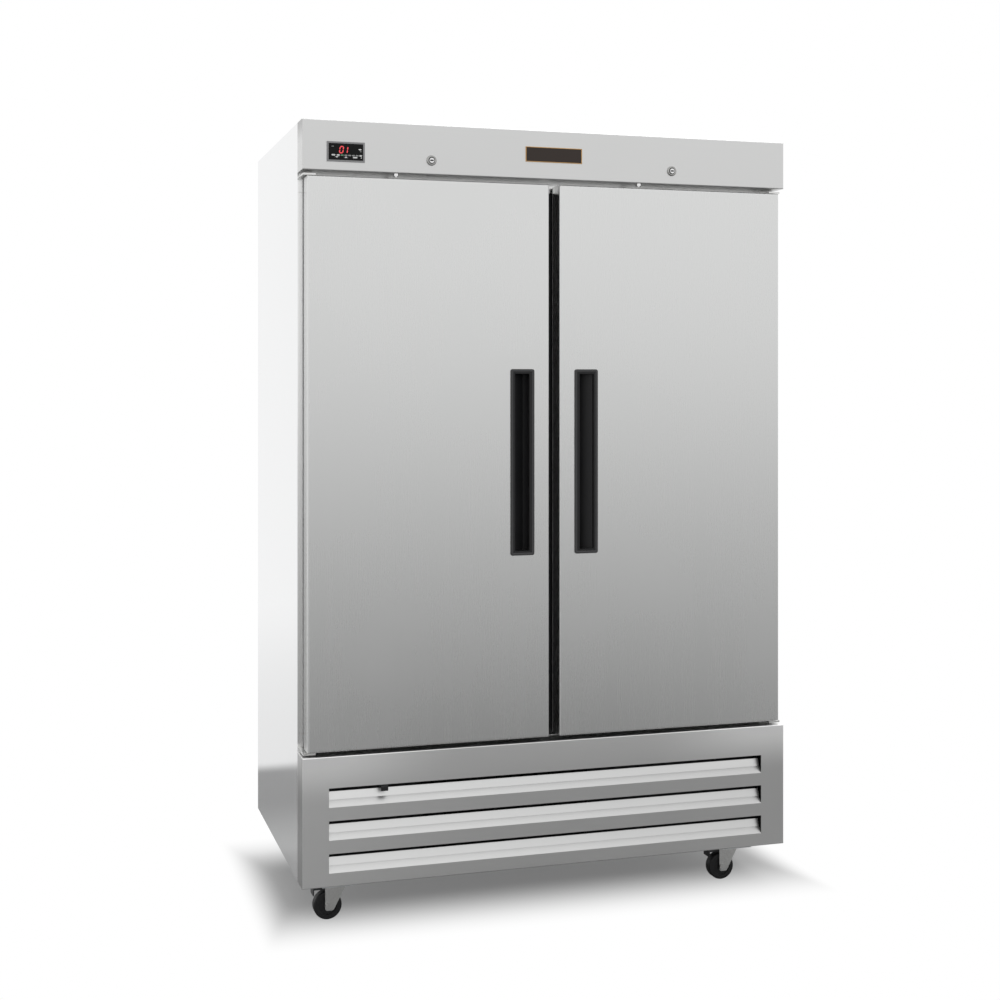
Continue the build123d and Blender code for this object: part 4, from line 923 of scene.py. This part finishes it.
# place across and down, length, width and which ink
signs = [
    (0.0173, row_drop, 0.0110, 0.0038, 0),
    (0.0299, row_drop, 0.0088, 0.0038, 0),
    (0.0402, row_drop, 0.0084, 0.0032, 2),
    (0.0500, row_drop, 0.0088, 0.0034, 1),
    (0.0598, row_drop, 0.0088, 0.0034, 1),
    (0.0696, row_drop, 0.0088, 0.0034, 1),
    (0.0794, row_drop, 0.0088, 0.0034, 1),
    (0.0890, row_drop, 0.0080, 0.0036, 0),
    (0.0905, 0.0402, 0.0036, 0.0036, 0),
    (0.0872, 0.0188, 0.0085, 0.0032, 0),
    (0.0888, 0.0239, 0.0050, 0.0018, 1),
    (0.0152, 0.0126, 0.0070, 0.0018, 1),
]


def window_marks(shape):
    for across, drop, length, width, ink in signs:
        bar(shape, strip(length, width), on_window(across, drop), ink_depth, material=ink)


piece("window_marks", "cabinet", inks, window_marks)

# %% [markdown]
# ## Lock rings and pull trims
# Each lock sits in a ring of satin nickel that reaches back to the header and covers the edge of its
# hole. Round the plug lies a flat black ring, painted shade for the groove there. A flat black strip on the
# plug is painted shade that makes the keyway look deep, and it turns with the plug. Each recessed pull has
# a raised trim of dark grey plastic round its black mouth. A bevel on the solids could only round what is
# there, so these are thin extra pieces laid on the solids' faces.

# %% Lock rings
barrel_low, barrel_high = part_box("lock_barrels")
flange_y = barrel_low.y
flange_radius = (barrel_high.z - barrel_low.z) / 2
header_drop = flange_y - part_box("header_panel")[0].y  # from the flange's face back to the header's
inner_radius = flange_radius + 0.0001
outer_radius = flange_radius + 0.0021
# painted shade: a flat black ring round the plug stands for the groove's shade
groove_shade_inside, groove_shade_outside, groove_shade_height = 0.0067, 0.0082, 0.0003
ring_section = [
    (groove_shade_outside, 0.0000),
    (inner_radius, 0.0000),
    (inner_radius, header_drop),
    (outer_radius, header_drop),
    (outer_radius, 0.4 * header_drop),
    (flange_radius + 0.0013, 0.0006),
    (flange_radius - 0.0005, 0.0016),
    (0.0092, 0.0013),
    (0.0085, 0.0006),
]
groove_shade_section = [
    (groove_shade_inside, 0.0),
    (groove_shade_outside, 0.0),
    (groove_shade_outside, groove_shade_height),
    (groove_shade_inside, groove_shade_height),
]
locks = {side: joint_places[side + "_lock_turn"] for side in ("left", "right")}


def lock_rings(shape):
    for x, _, z in locks.values():
        turned_ring(shape, (x, flange_y, z), (0, -1, 0), ring_section)
        for face in turned_ring(shape, (x, flange_y, z), (0, -1, 0), groove_shade_section):
            face.material_index = 1


ring_finishes = [finishes["lock_nickel"], finishes["black_paint"]]
piece("lock_rings", "cabinet", ring_finishes, lock_rings, 50.0)

# %% Keyways
keyway_length = 0.0112
keyway_width = 0.0042
# painted shade: a flat black strip on the plug makes the keyway look deep
keyway_shade_depth = 0.0003
keyway_shade_bevel = 0.0001
for side, (x, _, z) in locks.items():
    plug_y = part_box(side + "_lock_plug")[0].y

    def keyway(shape):
        bar(shape, strip(keyway_length, keyway_width), (x, plug_y, z), keyway_shade_depth, keyway_shade_bevel)

    piece(side + "_lock_keyway", side + "_lock", [finishes["black_paint"]], keyway)

# %% Pull trims
trim_corner = 0.006
trim_section = [
    (0.0003, 0.0000),
    (0.0005, -0.0006),
    (0.0014, -0.0010),
    (0.0058, -0.0010),
    (0.0068, -0.0006),
    (0.0071, 0.0000),
]
for side in ("left", "right"):
    low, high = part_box(side + "_door_handle")

    def trim(shape):
        swept_frame(shape, low, high, trim_section, trim_corner)

    piece(side + "_pull_trim", side + "_door", [finishes["grey_plastic"]], trim)

# %% [markdown]
# ## Grille catch
# The grille swings down for cleaning and a small black spring catch holds it, hooked on the upper edge of
# the top opening. It is a bent strip, so it is drawn from the side and raised across its width.

# %% Grille catch
catch_x = (-0.479, -0.460)
edge_z = 0.385
catch_side = [
    (0.0012, 0.0135),
    (0.0034, 0.0135),
    (0.0034, -0.0045),
    (-0.0012, -0.0075),
    (-0.0012, -0.0165),
    (-0.0034, -0.0165),
    (-0.0034, -0.0058),
    (0.0012, -0.0025),
]


def grille_catch(shape):
    loops = []
    for x in catch_x:
        loops.append([shape.verts.new((x, grille_low.y + y, edge_z + z)) for y, z in catch_side])
    cap_loops(shape, loops)


catch = piece("grille_catch", "cabinet", [finishes["black_plastic"]], grille_catch)
rounding = catch.modifiers.new("rounding", "BEVEL")
rounding.width = 0.0005
rounding.segments = 2

# %% [markdown]
# ## Breaker strips
# A black plastic strip covers the face frame under the doors, where warm sheet would meet cold, and short
# strips close the frame between the two gaskets. They fill the gaps between the doors and over the grille
# with black, which is partly their own colour and partly painted shade for those deep gaps. Painting the
# frame itself would blacken its bright sides too, so the strips are thin pieces of their own.

# %% Breaker strips
strip_thickness = 0.0008
hinge_clear = 0.646
edge_clear = 0.001
gasket_clear = 0.0015
face_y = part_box("door_frame")[0].y
mullion_low, mullion_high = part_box("center_mullion")
gasket_low, gasket_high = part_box("left_door_gasket")
between_gaskets = -gasket_high.x - gasket_clear
gasket_foot_z = gasket_low.z - edge_clear
half_foot = [
    (hinge_clear, grille_high.z + edge_clear),
    (hinge_clear, gasket_foot_z),
    (between_gaskets, gasket_foot_z),
    (between_gaskets, mullion_low.z),
]
half_top = [(between_gaskets, mullion_high.z), (between_gaskets, gasket_high.z)]


def breaker_strips(shape):
    for half in (half_foot, half_top):
        outline = half + [(-x, z) for x, z in reversed(half)]
        bar(shape, outline, (0, face_y, 0), strip_thickness)


piece("breaker_strips", "cabinet", [finishes["black_plastic"]], breaker_strips)

# %% [markdown]
# ## Door gaskets
# A gasket is a soft vinyl tube with a magnet in its front bead and a bellows behind it. The solid only
# holds its room. Here the same room is filled with the real section, which runs round the door with
# mitred, welded corners. A section swept by hand keeps the mitres sharp, where a bevelled curve would
# twist at them.

# %% Door gaskets
gasket_section = [
    (0.0010, 0.0000),
    (0.0210, 0.0000),
    (0.0214, 0.0018),
    (0.0196, 0.0030),
    (0.0158, 0.0036),
    (0.0150, 0.0048),
    (0.0166, 0.0060),
    (0.0210, 0.0068),
    (0.0219, 0.0084),
    (0.0217, 0.0104),
    (0.0205, 0.0116),
    (0.0020, 0.0116),
    (0.0006, 0.0106),
    (0.0001, 0.0086),
    (0.0012, 0.0068),
    (0.0056, 0.0060),
    (0.0070, 0.0048),
    (0.0062, 0.0036),
    (0.0022, 0.0030),
    (0.0005, 0.0018),
]
vinyl = [finishes["gasket_vinyl"]]
for side in ("left", "right"):
    low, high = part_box(side + "_door_gasket")

    def gasket(shape):
        swept_frame(shape, low, high, gasket_section)

    made = piece(side + "_gasket_bellows", side + "_door", vinyl, gasket, 50.0)
    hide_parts(side + "_door_gasket")


# %% [markdown]
# ## Screws, rivets and bolts
# Sheet metal is held by fasteners, and their small bright heads give the back and the inside their scale.
# One profile turned about an axis gives a screw head. Bending the radius of its inner rings by a cross
# outline makes the driver's recess, and by a hexagon makes a bolt head.

# %% Fastener heads
def cross(angle):
    """Radius of a driver's cross against the reach of its arms."""
    arm = 0.3 / max(1e-6, min(abs(math.sin(angle)), abs(math.cos(angle))))
    return min(1.0, arm)


def hexagon(angle):
    """Radius of a hexagon against the radius of its corners."""
    third = math.pi / 3
    return math.cos(third / 2) / math.cos(angle % third - third / 2)


screw_head = [
    (0.0040, 0.0),
    (0.0040, 0.0006),
    (0.0034, 0.0015),
    (0.0022, 0.0020),
    (0.0021, 0.0020, cross),
    (0.0018, 0.0010, cross),
]
rivet_head = [(0.0048, 0.0), (0.0047, 0.0005), (0.0036, 0.0012), (0.0016, 0.0014), (0.0012, 0.0009)]
bolt_head = [(0.0072, 0.0), (0.0072, 0.0036, hexagon), (0.0066, 0.0044, hexagon), (0.0030, 0.0045)]


def fasteners(name, slot, head, spots):
    """One piece of many heads, each with a place and the way it faces."""

    def heads(shape):
        for place, facing in spots:
            turned_body(shape, place, facing, head)

    piece(name, "cabinet", [finishes[slot]], heads)
    print(name, len(spots))


print("fastener heads ready")

# %% Fasteners of the back and the top
rearward, upward = (0, 1, 0), (0, 0, 1)
guard_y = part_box("rear_guard")[1].y
guard_columns = (-0.662, -0.3424, 0.0, 0.3424, 0.662)
guard_rows = (0.146, 0.439)
guard_spots = [((x, guard_y, z), rearward) for x in guard_columns for z in guard_rows]
fasteners("rear_guard_screws", "hinge_steel", screw_head, guard_spots)

rear_low, rear_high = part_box("rear_panel")
rear_edge = 0.018
side_columns = (-0.668, 0.668)
columns = (side_columns[0], -0.334, 0.0, 0.334, side_columns[1])
end_rows = (rear_low.z + rear_edge, rear_high.z - rear_edge)
side_rows = (0.80, 1.13, 1.46, 1.79)
rivet_spots = [((x, rear_high.y, z), rearward) for x in columns for z in end_rows]
rivet_spots += [((x, rear_high.y, z), rearward) for x in side_columns for z in side_rows]
fasteners("rear_panel_rivets", "hinge_steel", rivet_head, rivet_spots)

top_low, top_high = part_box("top_panel")
edge_x = top_high.x - 0.016
end_inset = 0.05
first_y, last_y = top_low.y + end_inset, top_high.y - end_inset
top_rows = [first_y + k * (last_y - first_y) / 3 for k in range(4)]
top_spots = [((x, y, top_high.z), upward) for x in (-edge_x, edge_x) for y in top_rows]
fasteners("top_panel_rivets", "hinge_steel", rivet_head, top_spots)

# %% Caster bolts
plate_sheet = 0.004
bolt_x = 0.0365
bolt_y = 0.0265
plate_face_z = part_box("caster_plates")[1].z - plate_sheet
swivels = [place for name, place in joint_places.items() if name.endswith("_swivel")]
bolt_spots = [
    ((x + dx, y + dy, plate_face_z), (0, 0, -1))
    for x, y, _ in swivels
    for dx in (-bolt_x, bolt_x)
    for dy in (-bolt_y, bolt_y)
]
fasteners("caster_bolts", "zinc_steel", bolt_head, bolt_spots)

# %% Screws of the shelf standards
standards_low, standards_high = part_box("shelf_standards")
standard_depth = 0.008
middle_x = 0.026
side_y = (-0.2315, 0.2525)
screw_heights = (-0.6235, 0.0215, 0.6235)  # from the middle of the standards
wall_x = standards_high.x - standard_depth
front_inner_y = standards_low.y + standard_depth
rear_inner_y = standards_high.y - standard_depth
middle_z = (standards_low.z + standards_high.z) / 2
shelf_spots = []
for z in [middle_z + height for height in screw_heights]:
    for s in (-1, 1):
        shelf_spots += [((s * wall_x, y, z), (-s, 0, 0)) for y in side_y]
        shelf_spots.append(((s * middle_x, front_inner_y, z), (0, 1, 0)))
        shelf_spots.append(((s * middle_x, rear_inner_y, z), (0, -1, 0)))
fasteners("standard_screws", "hinge_steel", screw_head, shelf_spots)

# %% [markdown]
# ## Fan guard
# Fingers are kept off the ceiling fan by a guard of welded wire: rings held by crossing bars. It shows
# through the open doors. Each ring is a small circle turned about the fan's axis. Bevelled curves would
# do as well, but the helper for turned rings is already there.

# %% Fan guard
guard_radii = (0.02, 0.04, 0.06, 0.08, 0.0955)
guard_wire = 0.0013
guard_bars = 3
wire_sides = 8
ring_steps = 48
fan_low, fan_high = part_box("evaporator_fan")
guard_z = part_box("light_strip")[1].z - guard_wire
guard_middle = Vector(((fan_low.x + fan_high.x) / 2, (fan_low.y + fan_high.y) / 2, guard_z))


def wire_guard(shape):
    turns = [2 * math.pi * k / wire_sides for k in range(wire_sides)]
    for radius in guard_radii:
        section = [(radius + guard_wire * math.cos(t), guard_wire * math.sin(t)) for t in turns]
        turned_ring(shape, guard_middle, (0, 0, 1), section, ring_steps)
    widest = guard_radii[-1]
    for k in range(guard_bars):
        turn = math.pi * k / guard_bars
        way = Vector((math.cos(turn), math.sin(turn), 0))
        start = guard_middle - widest * way
        turned_body(shape, start, way, [(guard_wire, 0.0), (guard_wire, 2 * widest)], wire_sides)


piece("evaporator_fan_guard", "cabinet", [finishes["coated_wire"]], wire_guard, 60.0)
